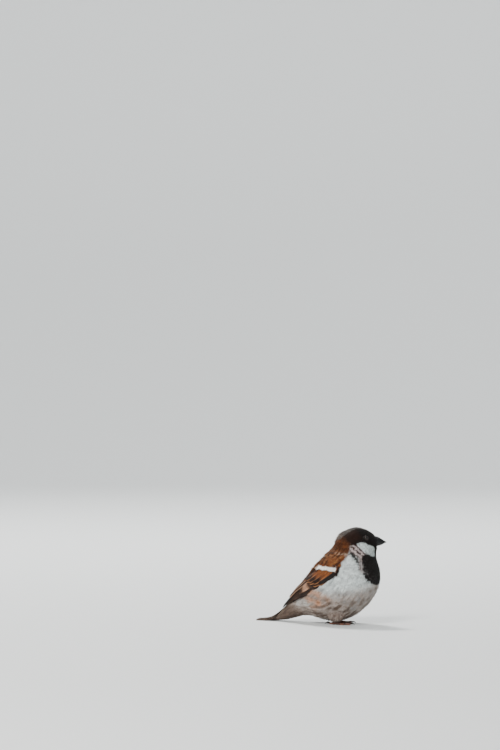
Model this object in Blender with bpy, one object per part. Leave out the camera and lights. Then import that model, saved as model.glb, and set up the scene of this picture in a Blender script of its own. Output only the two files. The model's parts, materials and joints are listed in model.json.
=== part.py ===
"""A male house sparrow at rest, life size, as solids that meet with thin gaps.

The bird faces +X with its left side to +Y and stands on Z = 0. Its body turns a little
under its head, which looks 30 degrees to the bird's left. Sizes below are millimetres in
a frame whose origin is on the floor under the belly; the last step puts the origin at the
middle of the whole box, on the floor, and every mesh is made in metres.

The body is one loft, cut across into head, neck, trunk and tail coverts. A place on it is
a station number along the back (0 at the bill, 12 at the tail root) and an elevation round
it (0 at the side, 90 on the back, -90 on the belly). The wings lie on that loft.
"""

import bmesh
import bpy
import numpy as np
from math import cos, pi, radians, sin
from mathutils import Vector

MM = 0.001
GAP = 0.3  # clearance between neighbouring pieces

# Stations of the body loft: back point (x, z), belly point (x, z), half width,
# height of the widest point as a share from belly to back, turn to the left in degrees.
BODY_STATIONS = {
    "bill root": ((28.7, 80.9), (30.2, 71.8), 4.5, 0.50, 30),
    "lore": ((25.0, 84.4), (30.0, 69.0), 7.4, 0.50, 30),
    "eye": ((18.5, 87.8), (29.4, 65.8), 10.4, 0.50, 30),
    "ear": ((9.5, 89.4), (29.6, 61.0), 12.8, 0.48, 28),
    "nape": ((-1.0, 85.2), (31.3, 55.5), 14.8, 0.48, 20),
    "neck": ((-8.8, 74.6), (33.6, 48.5), 18.2, 0.50, 8),
    "shoulder": ((-17.0, 64.2), (34.0, 40.0), 22.5, 0.50, 0),
    "breast": ((-24.5, 55.5), (29.8, 28.5), 24.5, 0.50, 0),
    "belly": ((-32.3, 46.3), (19.5, 15.5), 24.5, 0.50, 0),
    "lower belly": ((-39.2, 38.0), (3.0, 5.0), 22.0, 0.52, 0),
    "vent": ((-46.0, 30.6), (-17.0, 2.9), 16.5, 0.55, 0),
    "tail coverts": ((-53.2, 23.6), (-38.0, 6.4), 9.8, 0.55, 0),
    "tail root": ((-60.4, 16.6), (-53.0, 3.4), 8.0, 0.50, 0),
    "under the tail": ((-67.8, 8.2), (-62.5, 1.3), 7.0, 0.50, 0),
    "coverts end": ((-74.0, 2.8), (-72.0, 0.6), 5.0, 0.50, 0),
}
NECK_PIVOT_X = 5.0  # the head and neck turn about this upright line
RING_POINTS = 30

# Cuts across the body, as station numbers.
HEAD_END = 3.60
NECK_END = 5.06
TRUNK_END = 11.05
COVERTS_END = 14.0
CUT = 0.09  # stations left out at each cut

# Wing, folded along the body: station, lower and upper edge elevation, thickness.
WING_STATIONS = (
    (5.42, 22, 29, 0.6),
    (5.55, 13, 41, 1.1),
    (6.0, 5, 56, 1.9),
    (7.0, 2, 68, 2.6),
    (8.0, 8, 75, 2.8),
    (9.0, 13, 80, 2.8),
    (10.0, 13, 83, 2.8),
    (11.0, 10, 83, 2.4),
    (11.7, 18, 80, 1.8),
    (12.2, 34, 74, 1.2),
    (12.45, 50, 62, 0.7),
)
WING_RIM = 0.55  # thickness at the wing's edges
WING_TIP_SHARE = 0.78  # where the bare primary tips begin, along the wing
WING_TIP_CUT = 0.012

# Bill: culmen (x, z), cutting edge (x, z), gonys (x, z), half width.
BILL_STATIONS = (
    ((29.2, 80.9), (30.1, 75.3), (30.7, 71.9), 3.9),
    ((31.8, 80.1), (32.1, 75.4), (32.4, 72.3), 3.4),
    ((34.6, 78.3), (34.7, 75.45), (34.7, 73.2), 2.5),
    ((37.0, 76.8), (37.0, 75.5), (36.9, 74.5), 1.3),
    ((38.7, 75.8), (38.7, 75.4), (38.4, 75.1), 0.35),
)

# Eye: a ball set under the surface of the head.
EYE_STATION = 2.44
EYE_ELEVATION = 18
EYE_RADIUS = 2.6
EYE_DEPTH = 1.6

# Tail: x, mid height, half width, half thickness. Its feathers close to a shallow roof.
TAIL_STATIONS = (
    (-63.6, 10.6, 7.1, 2.1),
    (-69.0, 6.5, 7.4, 1.8),
    (-74.0, 3.7, 7.7, 1.5),
    (-79.0, 2.1, 7.9, 1.25),
    (-85.0, 1.3, 8.1, 1.0),
    (-92.0, 1.05, 8.3, 0.8),
)
TAIL_ROOF = 0.7  # how far the outer feathers hang below the middle ones
TAIL_NOTCH = 1.6  # depth of the notch at the tip
TAIL_CORNER = 2.6  # how far the rounded outer corners draw back

# Legs: where each foot's toe joint stands, and the feathered thigh above it.
FOOT_PLACES = {"right": (-3.0, -9.5), "left": (-11.0, 9.5)}
TOE_JOINT_HEIGHT = 1.55
THIGH_OFFSET = (0.5, 1.2, 10.4)  # from the foot: forward, outward, up
THIGH_RADII = (9.0, 6.4, 7.5)
HEEL_OFFSET = (-4.6, 0.6, 6.8)  # where the tarsus ends, inside the thigh feathers
TARSUS_RADIUS = 1.15
# Toes: angle from straight ahead (outward positive), length, radius, claw length.
TOES = {
    "inner": (-25, 9.0, 0.95, 4.2),
    "middle": (-2, 13.5, 1.0, 5.0),
    "outer": (22, 9.5, 0.95, 4.2),
    "hind": (177, 7.5, 1.05, 6.0),
}
TOE_SINK = 0.12  # the pads' undersides are flattened by this much


# ---------------------------------------------------------------- curves and surfaces


def through(rows, at):
    """Catmull-Rom curve through evenly spaced rows of numbers, read at station numbers."""
    rows = np.asarray(rows, float)
    last = len(rows) - 1
    at = np.clip(np.atleast_1d(np.asarray(at, float)), 0, last)
    start = np.minimum(at.astype(int), last - 1)
    padded = np.concatenate([[2 * rows[0] - rows[1]], rows, [2 * rows[-1] - rows[-2]]])
    t = (at - start).reshape(at.shape + (1,) * (rows.ndim - 1))
    a, b, c, d = (padded[start + k] for k in range(4))
    return 0.5 * (
        2 * b + (c - a) * t + (2 * a - 5 * b + 4 * c - d) * t**2 + (3 * b - a - 3 * c + d) * t**3
    )


def eased(table, column, at):
    """A smooth curve through a column of a table whose first column is uneven stations."""
    rows = np.asarray(table, float)
    x, y = rows[:, 0], rows[:, column]
    slope = np.gradient(y, x)
    i = np.clip(np.searchsorted(x, at) - 1, 0, len(x) - 2)
    width = x[i + 1] - x[i]
    t = np.clip((at - x[i]) / width, 0, 1)
    return (
        (2 * t**3 - 3 * t**2 + 1) * y[i]
        + (t**3 - 2 * t**2 + t) * width * slope[i]
        + (3 * t**2 - 2 * t**3) * y[i + 1]
        + (t**3 - t**2) * width * slope[i + 1]
    )


def turned(x, y, z, degrees):
    """Points turned to the left about the neck's upright line."""
    yaw = np.radians(degrees)
    x = x - NECK_PIVOT_X
    return np.stack(
        [NECK_PIVOT_X + x * np.cos(yaw) - y * np.sin(yaw), x * np.sin(yaw) + y * np.cos(yaw), z],
        axis=-1,
    )


STATION_ROWS = list(BODY_STATIONS.values())


def body(station, angle):
    """Points on the loft. The angle runs round it: 0 at the left side, 90 on the back."""
    station, angle = np.broadcast_arrays(
        np.asarray(station, float), np.radians(np.asarray(angle, float))
    )
    flat = station.ravel()

    def column(k):
        value = through([row[k] for row in STATION_ROWS], flat)
        return value.reshape(station.shape + value.shape[1:])

    back, belly = column(0), column(1)
    middle = belly + (back - belly) * column(3)[..., None]
    up = np.sin(angle)[..., None]
    place = middle + np.where(up > 0, up * (back - middle), -up * (belly - middle))
    return turned(place[..., 0], column(2) * np.cos(angle), place[..., 1], column(4))


def outward(station, angle):
    """Unit normals of the loft, pointing out."""
    step = 1e-3
    along = body(station + step, angle) - body(station - step, angle)
    round_it = body(station, angle + 0.05) - body(station, angle - 0.05)
    normal = np.cross(along, round_it)
    return normal / np.linalg.norm(normal, axis=-1, keepdims=True)


def side_angle(side, elevation):
    """Loft angle for an elevation on the left or the right side."""
    return elevation if side == "left" else 180 - elevation


# ---------------------------------------------------------------- meshes and objects


def clay(name, colour, roughness, metallic=0.0):
    material = bpy.data.materials.new(name)
    material.use_nodes = True
    shader = material.node_tree.nodes["Principled BSDF"]
    shader.inputs["Base Color"].default_value = (*colour, 1.0)
    shader.inputs["Roughness"].default_value = roughness
    shader.inputs["Metallic"].default_value = metallic
    material.diffuse_color = (*colour, 1.0)
    return material


def solid(name, points, faces, material, smooth=True):
    """An object from millimetre points and faces, with its faces pointing out."""
    mesh = bpy.data.meshes.new(name)
    mesh.from_pydata([tuple(p * MM) for p in np.asarray(points, float)], [], faces)
    sculpt = bmesh.new()
    sculpt.from_mesh(mesh)
    bmesh.ops.recalc_face_normals(sculpt, faces=sculpt.faces)
    sculpt.to_mesh(mesh)
    sculpt.free()
    if smooth:
        mesh.shade_smooth()
        mesh.set_sharp_from_angle(angle=radians(50))
    mesh.materials.append(material)
    made = bpy.data.objects.new(name, mesh)
    bpy.context.scene.collection.objects.link(made)
    return made


def loft(name, rings, material):
    """A closed solid through rings of equally many points, capped at both ends."""
    rings = np.asarray(rings, float)
    count, around = rings.shape[:2]
    faces = [tuple(range(around)), tuple((count - 1) * around + j for j in range(around))]
    for i in range(count - 1):
        for j in range(around):
            k = (j + 1) % around
            faces.append(
                (i * around + j, i * around + k, (i + 1) * around + k, (i + 1) * around + j)
            )
    return solid(name, rings.reshape(-1, 3), faces, material)


def shell(name, outer, inner, material):
    """A closed plate between two grids of points of one size."""
    rows, columns = outer.shape[:2]
    points = np.concatenate([outer.reshape(-1, 3), inner.reshape(-1, 3)])
    under = rows * columns
    faces = []
    for i in range(rows - 1):
        for j in range(columns - 1):
            a = i * columns + j
            quad = (a, a + 1, a + columns + 1, a + columns)
            faces.append(quad)
            faces.append(tuple(under + v for v in reversed(quad)))
    border = [j for j in range(columns)]
    border += [i * columns + columns - 1 for i in range(1, rows)]
    border += [(rows - 1) * columns + j for j in range(columns - 2, -1, -1)]
    border += [i * columns for i in range(rows - 2, 0, -1)]
    for a, b in zip(border, border[1:] + border[:1]):
        faces.append((a, b, under + b, under + a))
    return solid(name, points, faces, material)


def cutter(made):
    """Marks an object as a tool for a Boolean, left out of the model."""
    made.hide_render = True
    made.display_type = "WIRE"
    return made


def combine(target, other, operation):
    step = target.modifiers.new(f"{operation} {other.name}", "BOOLEAN")
    step.operation = operation
    step.solver = "EXACT"
    step.object = cutter(other)


def ball(name, centre, radii, material, segments=20, rings=12):
    """An ellipsoid as a loft between two small end rings."""
    polar = np.linspace(0.06, pi - 0.06, rings)[:, None]
    around = np.linspace(0, 2 * pi, segments, endpoint=False)[None, :]
    unit = np.stack(
        [np.sin(polar) * np.cos(around), np.sin(polar) * np.sin(around), np.cos(polar) + 0 * around],
        axis=-1,
    )
    return loft(name, np.asarray(centre) + unit * np.asarray(radii), material)


def tube(name, centres, radii, material, segments=12, floor=None):
    """A tapering tube along points, flattened where it would sink below the floor."""
    centres = np.asarray(centres, float)
    along = np.gradient(centres, axis=0)
    along /= np.linalg.norm(along, axis=1, keepdims=True)
    up = np.array([0.0, 0.0, 1.0])
    across = np.cross(up, along)
    across /= np.linalg.norm(across, axis=1, keepdims=True)
    lift = np.cross(along, across)
    turn = np.linspace(0, 2 * pi, segments, endpoint=False)[None, :, None]
    rings = centres[:, None] + np.asarray(radii, float)[:, None, None] * (
        across[:, None] * np.cos(turn) + lift[:, None] * np.sin(turn)
    )
    if floor is not None:
        rings[..., 2] = np.maximum(rings[..., 2], floor)
    return loft(name, rings, material)


# ---------------------------------------------------------------- the bird's parts


def body_length(name, first, last, rings, material, grow=0.0):
    stations = np.linspace(first, last, rings)[:, None]
    angles = np.linspace(0, 360, RING_POINTS, endpoint=False)[None, :]
    points = body(stations, angles)
    if grow:
        points = points + outward(stations, angles) * grow
    return loft(name, points, material)


def make_tail_coverts(plumage):
    """The coverts round the tail's root, which run on under it as a wedge."""
    coverts = body_length("tail_coverts", TRUNK_END + CUT, COVERTS_END, 11, plumage)
    x = np.linspace(TAIL_STATIONS[0][0] + GAP, TAIL_STATIONS[-1][0], 11)[:, None]
    v = np.linspace(-1, 1, 9)[None, :]
    room = [tail_surface(x, v, face, GAP) for face in (1, -1)]
    combine(coverts, shell("room_for_tail", *room, plumage), "DIFFERENCE")


def eye_centre(side):
    angle = side_angle(side, EYE_ELEVATION)
    station = np.array(EYE_STATION)
    return (body(station, angle) - outward(station, angle) * EYE_DEPTH).reshape(3)


def make_head(plumage, iris):
    head = body_length("head", 0, HEAD_END, 15, plumage)
    for side in ("left", "right"):
        centre = eye_centre(side)
        ball(f"eye_{side}", centre, (EYE_RADIUS,) * 3, iris, 16, 9)
        socket = ball(f"socket_{side}", centre, (EYE_RADIUS + GAP,) * 3, plumage, 16, 9)
        combine(head, socket, "DIFFERENCE")


def make_bill(horn):
    """Upper and lower mandible, which meet along the cutting edge."""
    last = len(BILL_STATIONS) - 1
    steps = np.linspace(0, last, 10)
    culmen, edge, gonys = (through([row[k] for row in BILL_STATIONS], steps) for k in range(3))
    width = through([row[3] for row in BILL_STATIONS], steps)
    arc = np.linspace(0, pi, 11)
    for name, ridge, sign in (("bill_upper", culmen, 1), ("bill_lower", gonys, -1)):
        base = edge + (ridge - edge) * 0.02
        base[:, 1] = edge[:, 1] + sign * GAP / 2
        place = base[:, None] + (ridge - base)[:, None] * np.sin(arc)[None, :, None]
        across = width[:, None] * np.cos(arc)[None, :]
        loft(name, turned(place[..., 0], across, place[..., 1], 30), horn)


def wing_points(share, across, side, lift=None):
    """Points on a folded wing: share along it, and across from the lower to the upper edge."""
    share, across = np.broadcast_arrays(share, across)
    first, last = WING_STATIONS[0][0], WING_STATIONS[-1][0]
    station = first + share * (last - first)
    low, high, thick = (eased(WING_STATIONS, k, station) for k in (1, 2, 3))
    angle = side_angle(side, low + (high - low) * across)
    if lift is None:
        crown = np.sqrt(np.sin(pi * across))
        lift = GAP + WING_RIM + np.maximum(thick - WING_RIM, 0) * crown
    return body(station, angle) + outward(station, angle) * np.asarray(lift)[..., None]


def make_wing(side, plumage, flight):
    across = (1 - np.cos(np.linspace(0, pi, 9)))[None, :] / 2
    arm = (WING_TIP_SHARE * np.linspace(0, 1, 17) ** 1.25)[:, None]
    tips = np.linspace(WING_TIP_SHARE + WING_TIP_CUT, 1, 7)[:, None]
    for name, share, material in (
        (f"wing_{side}", arm, plumage),
        (f"wing_tip_{side}", tips, flight),
    ):
        inner = np.full((share.size, across.size), GAP)
        shell(
            name,
            wing_points(share, across, side),
            wing_points(share, across, side, inner),
            material,
        )


def make_tail(flight):
    """The closed tail: a shallow roof of feathers with a notched end that lies on the floor."""
    v = np.linspace(-1, 1, 13)[None, :]
    along = np.linspace(0, 1, 11)[:, None]
    corner = np.abs(v) ** 6 * TAIL_CORNER
    notch = TAIL_NOTCH * (1 - np.abs(v)) ** 2
    root = TAIL_STATIONS[0][0]
    x = root - along * (root - TAIL_STATIONS[-1][0] - corner - notch)
    shell("tail", tail_surface(x, v, 1), tail_surface(x, v, -1), flight)


def tail_surface(x, v, face, grow=0.0):
    """Top (face 1) or underside (-1) of the closed tail at x, v from -1 to 1 across it."""
    table = [(-row[0], *row[1:]) for row in TAIL_STATIONS]
    x, v = np.broadcast_arrays(x, v)
    height, half_width, half_thick = (eased(table, k, -x) for k in (1, 2, 3))
    half_thick = half_thick * np.sqrt(1 - 0.75 * v**2) + grow * 1.3  # the blade slopes
    z = height - TAIL_ROOF * v**2 + face * half_thick
    floor = 0.6 if face > 0 else 0.0
    return np.stack([x, (half_width + grow) * v, np.maximum(z, floor - 9 * grow)], axis=-1)


def toe_line(foot, side, toe):
    """Centre line of a toe on the floor, from the joint outwards, and its direction."""
    degrees, length, radius, _ = TOES[toe]
    outward_sign = 1 if side == "left" else -1
    heading = radians(degrees * outward_sign)
    direction = np.array([cos(heading), sin(heading), 0.0])
    t = np.linspace(0, 1, 8)
    rest = radius - TOE_SINK
    height = rest + (TOE_JOINT_HEIGHT - rest) * (1 - t) ** 3
    centres = np.array([foot[0], foot[1], 0.0]) + direction * (t * length)[:, None]
    centres[:, 2] = height
    return centres, direction


def make_foot(side, scales, horn, plumage):
    foot = np.array([*FOOT_PLACES[side], 0.0])
    outward_sign = 1 if side == "left" else -1
    flip = np.array([1, outward_sign, 1])
    joint = foot + (0, 0, TOE_JOINT_HEIGHT)

    made = ball(f"foot_{side}", joint, (1.5, 1.5, 1.35), scales, 10, 7)
    for toe, (_, length, radius, claw) in TOES.items():
        centres, direction = toe_line(foot, side, toe)
        t = np.linspace(0, 1, len(centres))
        swell = 1 + 0.07 * np.cos(2 * 2 * pi * t)  # pads between the toe's joints
        radii = radius * (1.12 - 0.22 * t) * swell
        combine(made, tube(f"toe_{toe}_{side}", centres, radii, scales, 8, 0.0), "UNION")
        make_claw(f"claw_{toe}_{side}", centres[-1], direction, radius, claw, horn)

    heel = foot + np.array(HEEL_OFFSET) * flip
    t = np.linspace(0, 1, 8)[:, None]
    tarsus = joint + (heel - joint) * t
    combine(made, tube(f"tarsus_{side}", tarsus, [TARSUS_RADIUS] * 8, scales, 8), "UNION")

    centre = foot + np.array(THIGH_OFFSET) * flip
    thigh = ball(f"thigh_{side}", centre, THIGH_RADII, plumage, 22, 12)
    belly = body_length(f"belly_for_{side}_leg", 7.5, 11.5, 17, plumage, GAP)
    combine(thigh, belly, "DIFFERENCE")
    grown = np.array(THIGH_RADII) + GAP
    combine(made, ball(f"sleeve_{side}", centre, grown, plumage, 22, 12), "DIFFERENCE")
    combine(made, belly, "DIFFERENCE")


def make_claw(name, toe_end, direction, radius, length, horn):
    """A hooked claw that starts just past its toe and curls down towards the floor."""
    t = np.linspace(0, 1, 8)
    bend = radians(95)
    rise = radians(40)
    reach = np.sin(rise) - np.sin(rise - bend * t)
    climb = np.cos(rise - bend * t) - np.cos(rise)
    arc = length / bend
    start = np.asarray(toe_end) + direction * (GAP + 0.05) + (0, 0, 0.15)
    centres = start + direction * (arc * reach)[:, None] + np.outer(arc * climb, (0, 0, 1.0))
    tube(name, centres, radius * (0.62 * (1 - t) + 0.14), horn, 8, 0.05)


def put_origin_under_the_box():
    """Moves everything so that the origin is under the middle of the shown solids' box."""
    bpy.context.view_layer.update()
    graph = bpy.context.evaluated_depsgraph_get()
    corners = [
        shown.matrix_world @ Vector(corner)
        for obj in bpy.context.scene.objects
        if not obj.hide_render
        for shown in [obj.evaluated_get(graph)]
        for corner in shown.bound_box
    ]
    for axis in (0, 1):
        values = [corner[axis] for corner in corners]
        middle = (min(values) + max(values)) / 2
        for obj in bpy.context.scene.objects:
            obj.location[axis] -= middle


def main():
    for obj in list(bpy.data.objects):
        bpy.data.objects.remove(obj)
    crown = clay("crown_and_nape", (0.22, 0.12, 0.08), 0.8)
    white = clay("belly_feathers", (0.68, 0.66, 0.62), 0.85)
    chestnut = clay("chestnut_feathers", (0.30, 0.13, 0.05), 0.75)
    flight = clay("flight_feathers", (0.09, 0.065, 0.05), 0.65)
    scales = clay("leg_scales", (0.36, 0.19, 0.13), 0.5)
    horn = clay("black_horn", (0.03, 0.03, 0.035), 0.35)
    iris = clay("eye", (0.02, 0.012, 0.008), 0.08)

    make_head(crown, iris)
    body_length("neck", HEAD_END + CUT, NECK_END, 8, crown)
    body_length("trunk", NECK_END + CUT, TRUNK_END, 22, white)
    make_tail_coverts(white)
    make_bill(horn)
    make_tail(flight)
    for side in ("left", "right"):
        make_wing(side, chestnut, flight)
        make_foot(side, scales, horn, white)
    put_origin_under_the_box()


main()
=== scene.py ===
"""A male house sparrow at rest, life size: skin, plumage, wings, tail, bill, eyes and feet.

Sizes are millimetres in the bird's own frame: +X the way the body faces, +Y its left, +Z up,
with the origin on the floor under the belly. A place on the body is a station number along it
(0 at the bill, 12 at the tail root) and an angle round it (0 at the left side, 90 on the back,
180 at the right side, -90 on the belly). Elevation is that angle folded onto one side.
"""

import json

import bmesh
import bpy
import numpy as np
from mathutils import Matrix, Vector

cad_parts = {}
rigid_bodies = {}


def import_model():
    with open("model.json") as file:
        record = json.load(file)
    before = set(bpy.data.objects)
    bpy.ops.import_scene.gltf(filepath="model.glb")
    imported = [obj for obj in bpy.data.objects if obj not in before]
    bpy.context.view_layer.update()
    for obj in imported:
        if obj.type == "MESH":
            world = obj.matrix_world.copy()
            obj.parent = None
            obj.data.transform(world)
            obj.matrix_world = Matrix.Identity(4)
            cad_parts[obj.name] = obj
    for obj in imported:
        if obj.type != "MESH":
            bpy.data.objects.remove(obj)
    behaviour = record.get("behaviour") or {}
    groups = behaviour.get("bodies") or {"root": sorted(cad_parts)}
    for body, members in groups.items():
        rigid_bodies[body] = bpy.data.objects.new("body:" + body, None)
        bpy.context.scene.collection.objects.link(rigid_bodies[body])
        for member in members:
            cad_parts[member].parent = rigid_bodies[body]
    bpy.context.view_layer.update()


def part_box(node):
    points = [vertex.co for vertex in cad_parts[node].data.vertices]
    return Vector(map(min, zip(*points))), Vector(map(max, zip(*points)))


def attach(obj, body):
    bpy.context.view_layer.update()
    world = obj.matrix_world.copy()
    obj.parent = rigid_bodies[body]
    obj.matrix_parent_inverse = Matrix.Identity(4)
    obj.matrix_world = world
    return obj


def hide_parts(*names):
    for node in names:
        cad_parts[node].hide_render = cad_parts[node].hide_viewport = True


for startup in list(bpy.data.objects):
    bpy.data.objects.remove(startup)
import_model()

# ---------------------------------------- Body form and skin
# Under the feathers is one soft hide from the bill to the root of the tail, with the thighs.
# It lies under the tips of the coat by the coat's depth and is tinted like the feathers that
# grow from it, so that no seam or gap shows where they part.

# Back point (x, z), belly point (x, z), half width, height of the widest point, turn to the left
BODY_STATIONS = {
    "bill root": ((28.7, 80.9), (30.2, 71.8), 4.5, 0.50, 30),
    "lore": ((25.0, 84.4), (30.0, 69.0), 7.4, 0.50, 30),
    "eye": ((18.5, 87.8), (29.4, 65.8), 10.4, 0.50, 30),
    "ear": ((9.5, 89.4), (29.6, 61.0), 12.8, 0.48, 28),
    "nape": ((-1.0, 85.2), (31.3, 55.5), 14.8, 0.48, 20),
    "neck": ((-8.8, 74.6), (33.6, 48.5), 18.2, 0.50, 8),
    "shoulder": ((-17.0, 64.2), (34.0, 40.0), 22.5, 0.50, 0),
    "breast": ((-24.5, 55.5), (29.8, 28.5), 24.5, 0.50, 0),
    "belly": ((-32.3, 46.3), (19.5, 15.5), 24.5, 0.50, 0),
    "lower belly": ((-39.2, 38.0), (3.0, 5.0), 22.0, 0.52, 0),
    "vent": ((-46.0, 30.6), (-17.0, 2.9), 16.5, 0.55, 0),
    "tail coverts": ((-53.2, 23.6), (-38.0, 6.4), 9.8, 0.55, 0),
    "tail root": ((-60.4, 16.6), (-53.0, 3.4), 8.0, 0.50, 0),
    "under the tail": ((-67.8, 8.2), (-62.5, 1.3), 7.0, 0.50, 0),
    "coverts end": ((-74.0, 2.8), (-72.0, 0.6), 5.0, 0.50, 0),
}
LAST_STATION = len(BODY_STATIONS) - 1
NECK_PIVOT_X = 5.0
TAIL_JOINS = 12.6  # the station where the tail comes out over the last coverts
COAT_DEPTH = ((0, 0.5), (1, 0.8), (3, 1.2), (5, 1.8), (8, 2.3), (11, 2.0), (13, 0.9), (14, 0.5))
MM = 0.001


def through(rows, at):
    """Catmull-Rom curve through evenly spaced rows of numbers, read at station numbers."""
    rows = np.asarray(rows, float)
    last = len(rows) - 1
    at = np.clip(np.atleast_1d(np.asarray(at, float)), 0, last)
    start = np.minimum(at.astype(int), last - 1)
    padded = np.concatenate([[2 * rows[0] - rows[1]], rows, [2 * rows[-1] - rows[-2]]])
    t = (at - start).reshape(at.shape + (1,) * (rows.ndim - 1))
    a, b, c, d = (padded[start + k] for k in range(4))
    return 0.5 * (
        2 * b + (c - a) * t + (2 * a - 5 * b + 4 * c - d) * t**2 + (3 * b - a - 3 * c + d) * t**3
    )


def turned(x, y, z, degrees):
    """Points turned to the left about the neck's upright line."""
    yaw = np.radians(degrees)
    x = x - NECK_PIVOT_X
    return np.stack(
        [NECK_PIVOT_X + x * np.cos(yaw) - y * np.sin(yaw), x * np.sin(yaw) + y * np.cos(yaw), z],
        axis=-1,
    )


def body(station, angle):
    """Points on the outside of the plumage."""
    station, angle = np.broadcast_arrays(
        np.asarray(station, float), np.radians(np.asarray(angle, float))
    )
    rows, flat = list(BODY_STATIONS.values()), station.ravel()

    def column(k):
        value = through([row[k] for row in rows], flat)
        return value.reshape(station.shape + value.shape[1:])

    back, belly = column(0), column(1)
    middle = belly + (back - belly) * column(3)[..., None]
    up = np.sin(angle)[..., None]
    place = middle + np.where(up > 0, up * (back - middle), -up * (belly - middle))
    return turned(place[..., 0], column(2) * np.cos(angle), place[..., 1], column(4))


def unit(vectors):
    """Vectors made one long."""
    return vectors / np.maximum(np.linalg.norm(vectors, axis=-1, keepdims=True), 1e-9)


def read_from(points, first, last):
    """A fast reader of a surface given as a grid of points, with its outward normals.

    The grid's rows run from first to last and its columns run once round. Past its ends the
    surface goes on straight.
    """
    along = np.gradient(points, axis=0)
    rounds = np.roll(points, -1, axis=1) - np.roll(points, 1, axis=1)
    normals = unit(np.cross(along, rounds))
    rows, columns = points.shape[:2]

    def at(station, angle):
        station, angle = np.broadcast_arrays(station, angle)
        row = (station - first) / (last - first) * (rows - 1)
        held = np.clip(row, 0, rows - 1.001)
        column = np.mod(angle / 360 * columns, columns)
        i, j = held.astype(int), np.minimum(column.astype(int), columns - 1)
        u, v = (held - i)[..., None], (column - j)[..., None]
        k = (j + 1) % columns

        def between(grid):
            low = grid[i, j] * (1 - v) + grid[i, k] * v
            high = grid[i + 1, j] * (1 - v) + grid[i + 1, k] * v
            return low * (1 - u) + high * u

        past = (row - held)[..., None]
        return between(points) + past * between(along), unit(between(normals))

    return at


station_grid, angle_grid = np.meshgrid(
    np.linspace(0, LAST_STATION, 701), np.arange(0, 360, 0.5), indexing="ij"
)
on_body = read_from(body(station_grid, angle_grid), 0, LAST_STATION)


def elevation_of(angle):
    """Angle round the body as an elevation from -90 to 90 on either side."""
    return np.degrees(np.arcsin(np.clip(np.sin(np.radians(angle)), -1, 1)))


def graded(table, at):
    """A value read from a short table of (place, value)."""
    return np.interp(at, [row[0] for row in table], [row[1] for row in table])


def ease(value, start, end):
    """0 before start and 1 after end, with a smooth step between them."""
    t = np.clip((value - start) / (end - start), 0, 1)
    return t * t * (3 - 2 * t)


def mixed(first, second, share):
    """The first colour where share is 0, the second where it is 1."""
    share = np.asarray(share, float)[..., None]
    return np.asarray(first, float) * (1 - share) + np.asarray(second, float) * share


# Plumage colours, as linear red, green and blue
CROWN_GREY = (0.066, 0.057, 0.055)
MASK_BLACK = (0.0070, 0.0048, 0.0045)
STRIPE_BROWN = (0.020, 0.0085, 0.0055)
CHESTNUT = (0.150, 0.043, 0.012)
MANTLE_BUFF = (0.40, 0.185, 0.075)
CHEEK_WHITE = (0.66, 0.73, 0.72)
BREAST_WHITE = (0.72, 0.77, 0.76)
BELLY_GREY = (0.42, 0.34, 0.295)
VENT_BUFF = (0.33, 0.25, 0.20)
FLANK_RUFOUS = (0.56, 0.25, 0.12)
MANTLE_BLACK = (0.015, 0.0085, 0.0062)
RUMP_BROWN = (0.11, 0.078, 0.055)
TAIL_ROOT_BROWN = (0.125, 0.088, 0.068)
PALE_FLANK = (0.62, 0.61, 0.58)
NECK_PINK = (0.62, 0.52, 0.50)
BRACE_CREAM = (0.50, 0.36, 0.27)
LINE_MAROON = (0.022, 0.007, 0.007)
# Brown of the belly's smudges, partly its own mottling and partly painted shade under the body
SMUDGE_AND_SHADE_BROWN = (0.100, 0.064, 0.047)
NAPE_CHESTNUT = np.array(CHESTNUT) * 0.62

# Lines between the markings: (station, elevation)
CROWN_SIDE = (
    (0.2, 74), (0.45, 64), (1.0, 65), (1.6, 68), (2.3, 70), (3.0, 65), (3.5, 61), (4.0, 56),
    (4.4, 54), (4.6, 58), (4.8, 74),
)
CHEEK_TOP = (
    (1.5, -40), (1.9, -30), (2.05, -24), (2.4, -15), (2.8, -6), (3.0, 3), (3.25, 9), (3.5, 12),
    (3.8, 12), (4.14, 18), (4.4, 24), (4.7, 34),
)
BIB_SIDE = (
    (1.9, -42), (2.3, -46), (2.6, -51), (3.05, -55), (3.25, -49), (3.5, -38), (3.7, -26),
    (3.9, -19), (4.4, -16), (4.62, -22), (4.9, -28), (5.23, -34), (5.6, -42), (5.9, -49),
    (6.14, -57), (6.24, -68), (6.3, -92),
)
BACK_SIDE = (
    (4.2, 20), (4.35, 17), (4.6, 14), (4.8, 11), (5.04, 8), (5.35, 8), (5.66, 9), (5.8, 9),
    (7.0, 40), (10.0, 50), (12.5, 25),
)
# The black line behind the white collar, as (elevation down, station)
COLLAR_LINE = ((-12, 4.76), (-6, 4.71), (2, 4.69), (10, 4.78), (18, 4.93), (24, 5.16), (28, 5.5))
# The maroon bands across the neck, as stations, and the mantle's dark lines, in degrees apart
NECK_BAND, NECK_BAND_PITCH = 4.26, 0.33
MANTLE_LINE_PITCH = 10.5


def mottle(station, elevation, size, stretch, seed):
    """Smooth patches from about -1.5 to 1.5, of a size in mm, drawn out along the feathers."""
    rng = np.random.default_rng(seed)
    total = 0
    for _ in range(9):
        way = rng.uniform(0, 2 * np.pi)
        turns = 2 * np.pi / (size * rng.uniform(0.7, 1.6))
        run = 11 / stretch * np.cos(way) * station + 0.36 * np.sin(way) * elevation
        total = total + np.sin(turns * run + rng.uniform(0, 2 * np.pi))
    return total / 3


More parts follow.
